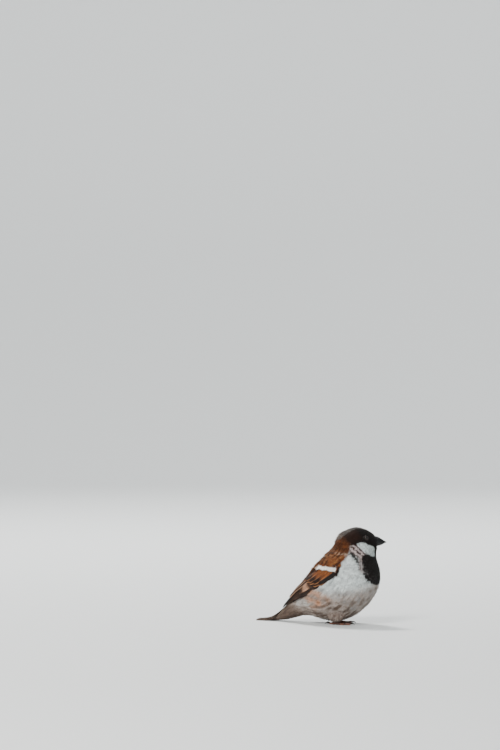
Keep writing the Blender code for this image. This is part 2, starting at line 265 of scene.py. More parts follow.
def underparts(s, e):
    """White breast, grey-buff belly, its brown smudges partly painted shade under the body, rufous
    flank and brown tail coverts.
    """
    low = ease(s - 8.05 - 0.026 * np.minimum(e, 0), -0.5, 0.7)
    colour = mixed(BREAST_WHITE, BELLY_GREY, low * 0.9)
    colour = mixed(colour, VENT_BUFF, ease(s, 9.8, 11.6) * 0.8)
    flank = ease(s, 8.0, 8.7) * ease(-s, -10.3, -9.5) * ease(e, -26, -12)
    patchy = 0.55 + 0.45 * np.clip(mottle(s, e, 5.0, 1.6, 3), -1, 1)
    colour = mixed(colour, FLANK_RUFOUS, 0.85 * flank * patchy)
    # Grey mottling, stronger low on the belly, where the extra darkness is painted shade under the
    # body
    grey = ease(mottle(s, e, 4.2, 1.5, 4), 0.1, 1.3)
    colour = colour * (1 - (0.30 + 0.12 * low) * grey)[..., None]
    # Brown smudges on the underside only: partly the belly's own mottling, partly painted shade
    # under the body
    smudge_and_shade = ease(mottle(s, e, 4.2, 2.2, 5), -0.1, 0.6) * ease(s, 6.9, 8.3) * ease(-s, -11, -10)
    colour = mixed(colour, SMUDGE_AND_SHADE_BROWN, 0.88 * smudge_and_shade * ease(-e, 2, 22))
    pale = ease(s, 9.3, 9.8) * ease(-s, -11.3, -10.8) * ease(e, -14, -4) * (1 - ease(e, 20, 30))
    colour = mixed(colour, PALE_FLANK, 0.8 * pale * ease(mottle(s, e, 5.0, 1.5, 17), -1.0, 0.2))
    lined = ease(mottle(s, e, 3.6, 6.0, 18), -0.3, 0.6)
    coverts = mixed(TAIL_ROOT_BROWN, LINE_MAROON, 0.65 * lined)
    return mixed(colour, coverts, 0.9 * ease(s - 0.008 * np.minimum(e, 0), 10.9, 12.0))


def upperparts(colour, back, s, e):
    """Chestnut back, lined with black and buff on the mantle, brown on the rump, cream brace."""
    upper = mixed(CHESTNUT, RUMP_BROWN, ease(s, 8.6, 9.8))
    upper = mixed(upper, STRIPE_BROWN, 0.55 * (1 - ease(s, 4.8, 5.4)))
    colour = mixed(colour, upper, back)
    lines = np.sin(2 * np.pi * (e / MANTLE_LINE_PITCH + 0.12 * mottle(s, e, 7.0, 1.5, 11)))
    mantle = ease(s, 4.9, 5.4) * ease(-s, -9.2, -8.4) * ease(e - graded(BACK_SIDE, s), 3, 9)
    colour = mixed(colour, MANTLE_BUFF, 0.65 * mantle * ease(-lines, 0.35, 0.95))
    broken = ease(mottle(s, e, 4.0, 2.0, 12), -1.3, -0.5)
    colour = mixed(colour, MANTLE_BLACK, 0.88 * mantle * ease(lines, 0.15, 0.7) * broken)
    off_brace = np.abs(e - 12 - 55 * (s - 4.9))
    brace = ease(-off_brace, -9.0, -3.5) * ease(s, 4.80, 4.90) * ease(-s, -5.45, -5.25)
    return mixed(colour, BRACE_CREAM, 0.7 * brace * ease(mottle(s, e, 3.4, 1.2, 6), -0.9, 0.5))


def neck_and_cheek(colour, back, s, e):
    """Chestnut nape, pink neck with maroon bands, white cheek and the black line behind it."""
    behind = ease(s, 3.7, 3.9) * ease(-s, -4.8, -4.6) * ease(e, 18, 24)
    patchy = 1 + 0.45 * np.clip(mottle(s, e, 3.2, 1.8, 19), -1, 1)
    colour = mixed(colour, NAPE_CHESTNUT * patchy[..., None], behind)
    neck = ease(s, 3.80, 3.88) * ease(-s, -4.7, -4.55) * (1 - back)
    neck = neck * ease(e, -40, -26) * ease(-e, -22, -16)
    colour = mixed(colour, NECK_PINK, neck)
    slanted = s + 0.035 * mottle(s, e, 2.4, 1.0, 9)
    band = ease(np.cos(2 * np.pi * (slanted - NECK_BAND) / NECK_BAND_PITCH), -0.25, 0.45)
    colour = mixed(colour, LINE_MAROON, 0.95 * neck * band)
    beside = e - graded(BIB_SIDE, s)
    strip = ease(s, 4.45, 4.6) * ease(-s, -5.7, -5.4) * ease(-beside, -10, -8)
    lines = mixed(np.array(NECK_PINK) * 0.8, LINE_MAROON, ease(np.cos(beside * 1.25), -0.2, 0.6))
    colour = mixed(colour, lines, 0.85 * strip)
    cheek = (1 - ease(s, 3.76, 3.83)) * ease(s, 1.8, 2.0)
    colour = mixed(colour, CHEEK_WHITE, cheek)
    colour = colour * (1 - 0.62 * cheek * ease(mottle(s, e, 2.2, 1.5, 7), 0.1, 1.1))[..., None]
    off_line = np.abs(s - graded(COLLAR_LINE, -e) + 0.07 * mottle(s, e, 2.0, 1.0, 14))
    broken = 1 - 0.9 * ease(-e, 18, 24) * ease(mottle(s, e, 2.4, 1.0, 8), -0.6, 0.2)
    collar = ease(-off_line, -0.17, -0.10) * ease(-e, -13, -9) * ease(e, -34, -29)
    return mixed(colour, MASK_BLACK, 0.95 * collar * broken)


def face_and_crown(colour, s, e):
    """Dark stripe over the eye and cheek, black face and bib, and the grey of the crown."""
    stripe = ease(e - graded(CHEEK_TOP, s), -1.5, 1.5) * (1 - ease(s, 4.35, 4.6))
    brown = mixed(MASK_BLACK, STRIPE_BROWN, ease(s, 2.6, 3.4) * ease(e, 8, 30))
    brown = mixed(brown, NAPE_CHESTNUT, 0.85 * ease(s, 4.05, 4.5))
    colour = mixed(colour, brown, stripe)
    face = 1 - ease(s, 1.8, 2.0)
    ragged = 2.6 * mottle(s, e, 2.0, 1.3, 15) * ease(s, 3.9, 4.8)
    bib = ease(graded(BIB_SIDE, s) - e + ragged, -1.5, 2.5) * (s < BIB_SIDE[-1][0] + 0.3)
    colour = mixed(colour, MASK_BLACK, np.maximum(face, bib))
    crown = ease(e - graded(CROWN_SIDE, s), -2, 2) * (1 - ease(s, 4.5, 4.9))
    grey = mixed(CROWN_GREY, MANTLE_BUFF, 0.25 * ease(s, 3.8, 4.8))
    return mixed(colour, grey, crown)


def plumage_colour(station, elevation):
    """Colour of the plumage at a place on the body, the same on both sides."""
    s, e = np.broadcast_arrays(station, elevation)
    back = ease(e - graded(BACK_SIDE, s), -2, 3) * ease(s, 4.2, 4.5)
    colour = upperparts(underparts(s, e), back, s, e)
    return face_and_crown(neck_and_cheek(colour, back, s, e), s, e)


def new_material(name, values):
    """A material with these values on its shader, and its node tree and shader."""
    material = bpy.data.materials.new(name)
    material.use_nodes = True
    shader = material.node_tree.nodes["Principled BSDF"]
    for label, value in values.items():
        shader.inputs[label].default_value = value
    return material, material.node_tree, shader


def new_node(tree, kind, sockets, **settings):
    """A node with its settings and sockets: another node's output is linked, a value is set."""
    node = tree.nodes.new(kind)
    for label, value in settings.items():
        setattr(node, label, value)
    for label, value in sockets.items():
        if isinstance(value, bpy.types.NodeSocket):
            tree.links.new(value, node.inputs[label])
        else:
            node.inputs[label].default_value = value
    return node


def worked_out(tree, operation, *values):
    """The result of a sum on numbers or on other nodes' outputs."""
    return new_node(
        tree, "ShaderNodeMath", dict(enumerate(values)), operation=operation
    ).outputs["Value"]


def ranged(tree, value, low, high, first=0.0, last=1.0):
    """Runs from low to high while the value runs from first to last."""
    return new_node(tree, "ShaderNodeMapRange", {
        "Value": value, "From Min": first, "From Max": last, "To Min": low, "To Max": high,
    }).outputs["Result"]


def noise(tree, place, scale, detail=2.0, **settings):
    """Smooth random values over the places."""
    return new_node(
        tree, "ShaderNodeTexNoise", {"Vector": place, "Scale": scale, "Detail": detail}, **settings
    ).outputs["Fac"]


def own_place(tree):
    """The place on the bird, in metres."""
    return new_node(tree, "ShaderNodeTexCoord", {}).outputs["Object"]


def own_tint(tree):
    """The colour that a mesh carries point by point."""
    return new_node(tree, "ShaderNodeAttribute", {}, attribute_name="tint").outputs["Color"]


def set_surface(tree, shader, shade, grain, roughness, relief):
    """Colours a shader with the mesh's own tint times a shade.

    The grain's low and high places have the first and second roughness, and stand out by relief,
    which is a strength and a height in metres.
    """
    colour = new_node(
        tree, "ShaderNodeVectorMath", {0: own_tint(tree), "Scale": shade}, operation="SCALE"
    )
    rough = ranged(tree, grain, *roughness)
    bump = new_node(
        tree, "ShaderNodeBump", {"Height": grain, "Strength": relief[0], "Distance": relief[1]}
    )
    tree.links.new(colour.outputs["Vector"], shader.inputs["Base Color"])
    tree.links.new(rough, shader.inputs["Roughness"])
    tree.links.new(bump.outputs["Normal"], shader.inputs["Normal"])


def coat_material(name, roughness=0.78, sheen=0.03, contrast=0.4, barb_size=0.00035, relief=0.35):
    """Feather stuff: the mesh's own tint, broken up by fine barbs and soft mottling."""
    material, tree, shader = new_material(
        name, {"Specular IOR Level": 0.12, "Sheen Weight": sheen, "Sheen Roughness": 0.6}
    )
    place = own_place(tree)
    barbs = noise(tree, place, 0.5 / barb_size, name="barbs")
    patches = noise(tree, place, 260.0, 3.0)
    both = worked_out(tree, "ADD", barbs, patches)
    shade = ranged(tree, both, 1.0 - contrast * 0.5, 1.0 + contrast * 0.5, 0.7, 1.3)
    set_surface(tree, shader, shade, barbs, (roughness - 0.08, roughness + 0.1), (relief, 0.0001))
    return material


def mesh_piece(name, points, faces, material, slot, tint=None, maps=(), welded=False):
    """One object of many faces from arrays, in millimetres. Maps are (name, corner per point).

    Welding closes the poles, where a ring of points was drawn together.
    """
    mesh = bpy.data.meshes.new(name)
    corners = faces.ravel().astype(np.int32)
    mesh.vertices.add(len(points))
    mesh.vertices.foreach_set("co", ((points + SHIFT) * MM).astype(np.float32).ravel())
    mesh.loops.add(len(corners))
    mesh.loops.foreach_set("vertex_index", corners)
    mesh.polygons.add(len(faces))
    starts = np.arange(len(faces), dtype=np.int32) * faces.shape[1]
    mesh.polygons.foreach_set("loop_start", starts)
    mesh.update(calc_edges=True)
    mesh.validate()
    mesh.shade_smooth()
    if tint is not None:
        layer = mesh.color_attributes.new("tint", "FLOAT_COLOR", "POINT")
        rgba = np.ones((len(points), 4), np.float32)
        rgba[:, :3] = tint
        layer.data.foreach_set("color", rgba.ravel())
    for map_name, corner in maps:
        layer = mesh.uv_layers.new(name=map_name)
        layer.data.foreach_set("uv", corner[corners].astype(np.float32).ravel())
    if welded:
        weld(mesh)
    mesh.materials.append(material)
    return shown(name, mesh)


def weld(mesh, lowest=None):
    """Joins points that lie together, and lifts any under the floor's level up to it."""
    sculpt = bmesh.new()
    sculpt.from_mesh(mesh)
    bmesh.ops.remove_doubles(sculpt, verts=sculpt.verts, dist=1e-6)
    if lowest is not None:
        for vert in sculpt.verts:
            vert.co.z = max(vert.co.z, lowest * MM)
    sculpt.to_mesh(mesh)
    sculpt.free()


def shown(name, mesh):
    """Puts a finished mesh in the scene as a piece of the bird."""
    made = bpy.data.objects.new(name, mesh)
    bpy.context.scene.collection.objects.link(made)
    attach(made, "root")
    return made


def grid_faces(rows, columns, closed):
    """Quads of a grid of points, which go on round from the last column to the first if closed.

    They face the way that (rows x columns) points.
    """
    i = np.arange(rows - 1)[:, None]
    j = np.arange(columns if closed else columns - 1)[None, :]
    k = (j + 1) % columns
    quads = np.stack(
        np.broadcast_arrays(i * columns + j, (i + 1) * columns + j, (i + 1) * columns + k,
                            i * columns + k), axis=-1,
    )
    return quads.reshape(-1, 4)


def joined(tubes):
    """Points and faces of closed tubes, given as rings, in one mesh."""
    points, faces = [], []
    for rings in tubes:
        faces.append(grid_faces(*rings.shape[:2], True) + sum(len(p) for p in points))
        points.append(rings.reshape(-1, 3))
    return np.concatenate(points), np.concatenate(faces)


def unwrap(station, angle):
    """Place on the skin's own unwrap, both from 0 to 1: the body takes the first nine tenths."""
    return np.stack(
        np.broadcast_arrays(0.01 + 0.88 * station / LAST_STATION, np.mod(angle / 360, 1)), axis=-1
    )


def thigh_unwrap(down, turn):
    """Place on the skin's unwrap from shares down a thigh and round it: the last tenth."""
    return np.stack(np.broadcast_arrays(0.9 + 0.09 * down, np.mod(turn, 1)), axis=-1)


# An eye's place on the head, its radius, and how deep its centre lies under the coat's outside
EYE_STATION, EYE_ELEVATION, EYE_RADIUS, EYE_DEPTH = 2.44, 18, 2.6, 1.6


def spot_on_body(station, degrees):
    """One point of the plumage's outside, and its normal."""
    return on_body(np.array(float(station)), np.array(float(degrees)))


def eye_centre(angle):
    """Centre of the eye at this angle round the head."""
    place, normal = spot_on_body(EYE_STATION, angle)
    return place - normal * EYE_DEPTH


# What brings the bird's own frame onto the solids, read from the right eye
eye_low, eye_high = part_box("eye_right")
SHIFT = (np.array(eye_low) + np.array(eye_high)) / 2 / MM - eye_centre(180 - EYE_ELEVATION)

SIDES = ("right", "left")
FEET = {"right": np.array([-3.0, -9.5, 0]), "left": np.array([-11.0, 9.5, 0])}
OUTWARD = {"right": -1, "left": 1}
THIGH_OFFSET, THIGH_RADII = (0.5, 1.2, 10.4), (9.0, 6.4, 7.5)
THIGH_LEAN = 0.35  # how far its upper part leans in under the belly, for each step up
THIGH_COAT = 1.0
SKIN_START, SKIN_END = 0.02, 13.7
# The skin is tinted darker than the feathers over it: painted shade in the gaps between them
SKIN_SHADE = 0.8  # the skin is darker than the feathers over it


def thigh_frame(side):
    """Centre and radii of a thigh, and how far it leans in for each step up."""
    centre = FEET[side] + np.array(THIGH_OFFSET) * (1, OUTWARD[side], 1)
    return centre, np.array(THIGH_RADII), THIGH_LEAN * OUTWARD[side]


def thigh_grid(side, sink=0.0):
    """Ellipsoid of the feathered thigh, its rows from the top down, its columns round."""
    polar, turn = np.meshgrid(
        np.linspace(0, np.pi, 61), np.radians(np.arange(0, 360, 3)), indexing="ij"
    )
    shape = np.stack(
        [np.sin(polar) * np.cos(turn), np.sin(polar) * np.sin(turn), np.cos(polar)], axis=-1
    )
    centre, radii, lean = thigh_frame(side)
    place = shape * (radii - sink)
    place[..., 1] -= lean * place[..., 2]
    return centre + place


def make_skin():
    stations, angles = np.meshgrid(
        np.linspace(SKIN_START, SKIN_END, 260), np.arange(0, 360, 2.5), indexing="ij"
    )
    outside, normal = on_body(stations, angles)
    hide = outside - normal * graded(COAT_DEPTH, stations)[..., None]
    for end in (0, -1):
        hide[end] = hide[end].mean(axis=0)
    tubes = [hide]
    tints = [plumage_colour(stations, elevation_of(angles)).reshape(-1, 3) * SKIN_SHADE]
    corners = [unwrap(stations, angles).reshape(-1, 2)]
    for side in SIDES:
        thigh = thigh_grid(side, THIGH_COAT)
        rows, columns = thigh.shape[:2]
        tubes.append(thigh)
        tints.append(np.broadcast_to(VENT_BUFF, (rows * columns, 3)))
        row, column = np.mgrid[0:rows, 0:columns]
        corners.append(thigh_unwrap(row / rows, column / columns).reshape(-1, 2))
    skin = mesh_piece(
        "skin", *joined(tubes), coat_material("skin down", 0.85), "belly_feathers",
        np.concatenate(tints), [("OFBake", np.concatenate(corners))], welded=True,
    )
    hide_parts("head", "neck", "trunk", "tail_coverts", "thigh_left", "thigh_right")


make_skin()

# ---------------------------------------- Body plumage
# Contour feathers: small vanes of barbs either side of a quill, rooted in the skin and lapped
# from the bill backwards. They are 2 mm long at the bill and up to 13 mm on the belly.

BARB_STEPS = ((0, 1, 3), (0, 3, 2), (2, 3, 4))  # a barb's faces, from its foot to its tip
FEATHER_KINDS = 7
EVEN_TURNS = (0.7548776662, 0.5698402910)  # steps that fill a square evenly
BAKE_PATCH = 0.0015  # half of a feather's own patch on the bake map


def feather_kinds(kinds, barbs, ragged, seed):
    """Unit feathers, x from root to tip and y from -1 to 1, in a few random kinds.

    A barb is a flat slip of five points: two on the quill, two halfway and one at its tip.
    """
    rng = np.random.default_rng(seed)
    b = (np.arange(barbs) + 0.5) / barbs
    start = 0.06 + 0.80 * b
    reach = 0.26 + 0.74 * np.sin(b * np.pi / 2)
    spread = np.cos(b * np.pi / 2 * 0.97) ** 0.6 * (0.55 + 0.45 * ease(b, 0, 0.35))
    half = 0.66 / barbs
    shapes = []
    for _ in range(kinds):
        for side in (1, -1):
            tip = reach + ragged * rng.normal(0, 0.045, barbs)
            out = side * spread * (1 + ragged * rng.normal(0, 0.16, barbs))
            lift = ragged * rng.normal(0, 0.05, barbs)
            middle = start + 0.48 * (tip - start)
            slip = (
                (start - half, 0 * out, 0 * lift), (start + half, 0 * out, 0 * lift),
                (middle - half * 0.9, out * 0.62, lift * 0.4),
                (middle + half * 0.9, out * 0.62, lift * 0.4), (tip, out, lift),
            )
            shapes.append(np.stack([np.stack(spot, -1) for spot in slip], axis=1))
    shapes = np.array(shapes).reshape(kinds, 2 * barbs * 5, 3)
    faces = []
    for barb in range(2 * barbs):
        for step in BARB_STEPS:
            corners = [barb * 5 + k for k in step]
            faces.append(corners if barb < barbs else corners[::-1])
    return shapes, np.array(faces)


def scattered(density, first, last, low, high):
    """Even places (station, angle) in a window, as many as the density field asks for."""
    s = np.linspace(first, last, 160)
    a = np.linspace(low, high, 240)
    grid_s, grid_a = np.meshgrid(s, a, indexing="ij")
    place, _ = on_body(grid_s, grid_a)
    size_s = np.linalg.norm(np.gradient(place, axis=0), axis=-1)
    size_a = np.linalg.norm(np.gradient(place, axis=1), axis=-1)
    share = density(grid_s, grid_a) * size_s * size_a
    count = int(share.sum())
    k = np.arange(1, count + 1)
    first_turn, second_turn = (np.mod(0.5 + k * turn, 1) for turn in EVEN_TURNS)
    rows = np.cumsum(share.sum(axis=1))
    row = np.interp(first_turn * rows[-1], rows, np.arange(len(s)))
    cumulative = np.cumsum(share, axis=1)
    cumulative /= np.maximum(cumulative[:, -1:], 1e-12)
    i = np.minimum(row.astype(int), len(s) - 2)
    part = (row - i)[:, None]
    line = cumulative[i] * (1 - part) + cumulative[i + 1] * part
    column = np.sum(line < second_turn[:, None], axis=1)
    return np.interp(row, np.arange(len(s)), s), a[np.minimum(column, len(a) - 1)]


def feather_colour(tints, web, along, beside):
    """Colours over feathers: a dark root, the web, a streak by the quill and a fringe."""
    colour = mixed(tints["root"][:, None], web, ease(along, 0.15, 0.45))
    streak = tints["streak_share"][:, None] * (1 - ease(beside, 0.25, 0.6)) * ease(along, 0.1, 0.3)
    streak = streak * (1 - 0.8 * ease(along, 0.86, 1.0))
    colour = mixed(colour, tints["streak"][:, None], streak)
    edge = np.maximum(ease(beside, 0.55, 0.95), ease(along, 0.86, 1.0))
    return mixed(colour, tints["fringe"][:, None], edge * tints["fringe_share"][:, None])


def feather_coat(
    name, at, roots, look, material, slot, *, length, width, root_height, tip_height, barbs,
    ragged, lie=8.0, heading=0.0, rise=None, painted=0.0, corner=unwrap, seed,
):
    """Lays one feather at each root (station, angle) of the surface that `at` reads.

    Look gives the tints of root, web, streak and fringe, and how much of the last two. Rise is
    the height of what the feathers go over. Painted is the share of a web's tint that follows
    the markings point by point. Lie is how far feathers stray from their heading, in degrees.
    """
    rng = np.random.default_rng(seed)
    station_0, angle_0 = roots
    count = len(station_0)
    shapes, unit_faces = feather_kinds(FEATHER_KINDS, barbs, ragged, seed)
    shape = shapes[rng.integers(0, len(shapes), count)]
    length = length * rng.uniform(0.88, 1.12, count)
    width = width * rng.uniform(0.9, 1.1, count)
    here, _ = at(station_0, angle_0)
    per_station = np.linalg.norm(at(station_0 + 0.02, angle_0)[0] - here, axis=-1) / 0.02
    per_degree = np.linalg.norm(at(station_0, angle_0 + 0.5)[0] - here, axis=-1) / 0.5
    turn = np.radians(heading + rng.normal(0, lie, count))[:, None]
    x, y = shape[..., 0] * length[:, None], shape[..., 1] * width[:, None] / 2
    station = station_0[:, None] + (x * np.cos(turn) - y * np.sin(turn)) / per_station[:, None]
    angle = angle_0[:, None] + (x * np.sin(turn) + y * np.cos(turn)) / per_degree[:, None]
    tip = tip_height + np.abs(tip_height - root_height) * rng.normal(0, 0.08, count)
    climb = np.maximum(shape[..., 0], 0) ** 0.85
    height = root_height[:, None] + (tip - root_height)[:, None] * climb
    height = height + shape[..., 2] * width[:, None] - 0.10 * width[:, None] * shape[..., 1] ** 2
    place, normal = at(station, angle)
    if rise is not None:
        height = height + rise(station, angle)
    points = (place + normal * height[..., None]).reshape(-1, 3)
    faces = unit_faces[None] + (np.arange(count) * shape.shape[1])[:, None, None]
    tints = look(station_0 + 0.75 * length / per_station, angle_0, rng)
    web = tints["web"][:, None]
    if painted:
        web = mixed(web, plumage_colour(station, elevation_of(angle)), painted)
    colour = feather_colour(tints, web, shape[..., 0], np.abs(shape[..., 1]))
    colour = np.clip(colour * rng.uniform(0.92, 1.08, (count, shape.shape[1], 1)), 0, 1)
    in_patch = BAKE_PATCH * np.stack([2 * shape[..., 0] - 1, shape[..., 1]], -1)
    bake = np.clip(corner(station_0, angle_0)[:, None] + in_patch, 0.0005, 0.9995)
    return mesh_piece(
        name, points, faces.reshape(-1, 3), material, slot, colour.reshape(-1, 3),
        [("OFBake", bake.reshape(-1, 2))],
    )


# Feather length along the body, and the share of it that is the width
FEATHER_LENGTH = (
    (0, 1.5), (1, 2.0), (2.4, 2.5), (3.5, 3.4), (4.5, 5.2), (5.5, 7.0), (7, 8.5), (9, 10.0),
    (11, 11.0), (12.5, 10.0), (14, 7.0),
)
FEATHER_SHAPE = 0.52
EYE_BARE = 2.35  # radius of the ring round the eye where no feather is rooted
EYE_OPEN = 1.95  # radius of the ring that no feather's tip enters
NAPE_RUFFLE, MANTLE_RUFFLE = 1.9, 1.5
DOWN_GREY = (0.075, 0.075, 0.080)
NAPE_STREAK = (0.025, 0.009, 0.005)
CROWN_STREAK = (0.018, 0.013, 0.012)
# Pale tips of the crown's feathers, partly a painted highlight of light from behind
CROWN_TIP_AND_RIM_HIGHLIGHT = (0.31, 0.28, 0.26)
BIB_TIP = (0.50, 0.49, 0.48)
FLANK_STREAK = (0.13, 0.085, 0.06)
BREAST_STREAK = (0.27, 0.29, 0.30)

# Pieces of the coat: first and last station, colour slot, barbs on each side of a quill, how
# closely feathers lap, how ragged they are, and how much of their tint follows the markings
COAT_PIECES = {
    "face_feathers": (0.0, 2.2, "crown_and_nape", 6, 6.5, 0.9, 0.5),
    "cheek_and_crown_feathers": (2.2, 3.55, "crown_and_nape", 8, 6.8, 0.8, 0.5),
    "nape_and_throat_feathers": (3.55, 5.1, "crown_and_nape", 11, 7.0, 0.8, 0.85),
    "breast_feathers": (5.1, 7.0, "belly_feathers", 14, 7.8, 0.9, 0.6),
    "belly_feathers": (7.0, 9.2, "belly_feathers", 15, 7.8, 1.1, 0.65),
    "vent_and_rump_feathers": (9.2, 11.4, "belly_feathers", 15, 7.4, 0.8, 0.3),
    "tail_covert_feathers": (11.4, 13.6, "belly_feathers", 14, 7.0, 0.8, 0.3),
}

# Folded wing on the body: station, lower and upper edge elevation, thickness
WING_STATIONS = (
    (5.42, 22, 29, 0.6), (5.55, 13, 41, 1.1), (6.0, 5, 56, 1.9), (7.0, 2, 68, 2.6),
    (8.0, 8, 75, 2.8), (9.0, 13, 80, 2.8), (10.0, 13, 83, 2.8), (11.0, 10, 83, 2.4),
    (11.7, 18, 80, 1.8), (12.2, 34, 74, 1.2), (12.45, 50, 62, 0.7),
)
WING_GAP, WING_RIM = 0.3, 0.55


def eased(table, column, at):
    """A smooth curve through a column of a table whose first column is uneven stations."""
    rows = np.asarray(table, float)
    x, y = rows[:, 0], rows[:, column]
    slope = np.gradient(y, x)
    i = np.clip(np.searchsorted(x, at) - 1, 0, len(x) - 2)
    width = x[i + 1] - x[i]
    t = np.clip((at - x[i]) / width, 0, 1)
    return (
        (2 * t**3 - 3 * t**2 + 1) * y[i] + (t**3 - 2 * t**2 + t) * width * slope[i]
        + (3 * t**2 - 2 * t**3) * y[i + 1] + (t**3 - t**2) * width * slope[i + 1]
    )


def wing_row(station):
    """Lower edge, upper edge and thickness of the folded wing at a station."""
    return [eased(WING_STATIONS, k, station) for k in (1, 2, 3)]


def wing_share(station, angle):
    """How far across the wing a place on the body is, 0 at the lower and 1 at the upper edge."""
    low, high, _ = wing_row(station)
    return (elevation_of(angle) - low) / np.maximum(high - low, 1)


def wing_rise(station, angle):
    """Height of the folded wing's outside over the body, 0 beside it."""
    _, _, thick = wing_row(station)
    across = wing_share(station, angle)
    crown = np.sqrt(np.clip(np.sin(np.pi * np.clip(across, 0, 1)), 0, 1))
    over = WING_GAP + WING_RIM + np.maximum(thick - WING_RIM, 0) * crown
    inside = ease(across, -0.04, 0.02) * ease(-across, -1.04, -0.98)
    ends = ease(station, 5.36, 5.5) * ease(-station, -12.5, -12.4)
    return over * inside * ends


def over_wing(station, angle):
    """1 for feathers of the back and shoulder, which lap over the wing. The rest go under it."""
    across = wing_share(np.maximum(station, 6.0), angle)
    above = (across > 0.85) & (station < 10.2) | (across < 0.12) & (station > 6.8) & (station < 8.6)
    chestnut = elevation_of(angle) > graded(BACK_SIDE, station) + 5
    return np.where(station < 5.9, chestnut, above).astype(float)


def thigh_rise(station, angle):
    """Height of the thighs' outside over the body, 0 beside them."""
    place, normal = on_body(station, angle)
    height = np.zeros(place.shape[:-1])
    for side in SIDES:
        centre, radii, lean = thigh_frame(side)
        start, way = (place - centre) / radii, normal / radii
        start[..., 1] += lean * radii[2] / radii[1] * start[..., 2]
        way[..., 1] += lean * radii[2] / radii[1] * way[..., 2]
        a, b, c = (np.sum(u * v, axis=-1) for u, v in ((way, way), (way, start), (start, start)))
        inside = b**2 - a * (c - 1)
        reach = np.sqrt(np.maximum(inside, 0)) / a
        height = np.maximum(height, (reach - b / a) * ease(reach, 0.6, 3.0) * (reach > b / a))
    return height


def no_wing_here(station, angle):
    """1 where body feathers are rooted, 0 where the wing covers them for good."""
    across = wing_share(station, angle)
    low = 0.02 + 0.10 * ease(station, 6.7, 7.7) * ease(-station, -11.3, -10.4)
    high = 0.96 - 0.42 * ease(station, 9.3, 10.3)
    under = ease(across, low, low + 0.06) * ease(-across, -high, 0.1 - high)
    return 1 - under * ease(station, 5.75, 5.95) * ease(-station, -11.0, -10.4)


def density_for(crowding):
    """Feathers per square millimetre, from their size and how closely they lap."""
    eyes = [eye_centre(angle) for angle in (EYE_ELEVATION, 180 - EYE_ELEVATION)]

    def density(station, angle):
        length = graded(FEATHER_LENGTH, station)
        width = length * FEATHER_SHAPE
        here, _ = on_body(station, angle)
        back = unit(on_body(station + 0.02, angle)[0] - here)
        near_eye = min_distance(here, eyes) < np.hypot(EYE_BARE, EYE_DEPTH)
        for reach in (0.5, 1.0):
            tip = here + back * (length * reach)[..., None]
            near_eye = near_eye | (min_distance(tip, eyes) < np.hypot(EYE_OPEN, EYE_DEPTH))
        over_tail = (station > TAIL_JOINS) & (elevation_of(angle) > -12)
        open_skin = no_wing_here(station, angle) * ~near_eye * ~over_tail
        return open_skin * crowding / width**2

    return density


def min_distance(points, centres):
    """Distance from each point to the nearest of the centres."""
    return np.min([np.linalg.norm(points - centre, axis=-1) for centre in centres], axis=0)


def body_look(station, angle, rng):
    """Tints of the feathers whose tips lie at these places."""
    count = len(station)
    s = station + rng.normal(0, 0.05, count)
    e = elevation_of(angle) + rng.normal(0, 1.6, count)
    web = plumage_colour(s, e) * rng.uniform(0.76, 1.14, (count, 1))
    pale = web.mean(axis=1) > 0.25
    tints = {
        "root": mixed(web, DOWN_GREY, np.where(pale, 0.55, 0.5)), "web": web,
        "streak": np.zeros((count, 3)) + 0.02, "streak_share": np.zeros(count),
        "fringe": web.copy(), "fringe_share": np.zeros(count),
    }

    def mark(layer, where, colour, share):
        tints[layer][where] = colour
        tints[f"{layer}_share"][where] = share

    def some(where):
        return rng.random(where.sum())

    mantle = (e > graded(BACK_SIDE, s) + 6) & (s > 4.9) & (s < 9.4)
    mark("streak", mantle, MANTLE_BLACK, np.where(some(mantle) < 0.3, 0.9, 0.2))
    mark("fringe", mantle, MANTLE_BUFF, some(mantle) ** 1.5 * 0.7)
    nape = (e > 10) & (s > 4.1) & (s <= 4.9)
    mark("streak", nape, NAPE_STREAK, some(nape) * 0.75)
    mark("fringe", nape, mixed(CHESTNUT, MANTLE_BUFF, 0.5), some(nape) * 0.6)
    crown = (e > graded(CROWN_SIDE, s)) & (s < 4.6)
    mark("streak", crown, CROWN_STREAK, rng.uniform(0.2, 0.9, crown.sum()))
    # Pale tips on the crown, more towards its rear: the tips are its own, the extra towards the rear
    # is a painted rim highlight
    pale_tips_and_rim_highlight = rng.uniform(0.1, 0.7, crown.sum()) + 0.25 * ease(s[crown], 3.0, 4.0)
    mark("fringe", crown, CROWN_TIP_AND_RIM_HIGHLIGHT, pale_tips_and_rim_highlight)
    bib = (web.mean(axis=1) < 0.05) & (s > 3.6) & (e < 0)
    rim = ease(e - graded(BIB_SIDE, s), -20, -4)[bib] * ease(s[bib], 4.6, 5.4)
    worn = np.clip(0.1 + 0.5 * ease(s[bib], 5.2, 6.2) + 0.9 * rim, 0, 1)
    mark("fringe", bib, BIB_TIP, some(bib) ** 2.2 * worn)
    neck = (s > 3.85) & (s < 4.8) & (e < 20) & ~bib
    mark("streak", neck, LINE_MAROON, some(neck) ** 3 * 0.8)
    flank = (s > 8.2) & (e < 60)
    mark("streak", flank, FLANK_STREAK, some(flank) ** 1.6 * 0.7)
    breast = pale & (s > 4.8) & (s <= 8.2)
    mark("streak", breast, BREAST_STREAK, some(breast) ** 1.6 * 0.7)
    return tints


def ruffle(station, angle):
    """How far the tips of the nape's and the mantle's feathers stand out."""
    nape = ease(station, 3.5, 4.1) * ease(-station, -4.75, -4.4)
    mantle = ease(station, 5.05, 5.6) * ease(-station, -7.6, -6.6)
    return (NAPE_RUFFLE * nape + MANTLE_RUFFLE * mantle) * ease(elevation_of(angle), 25, 60)


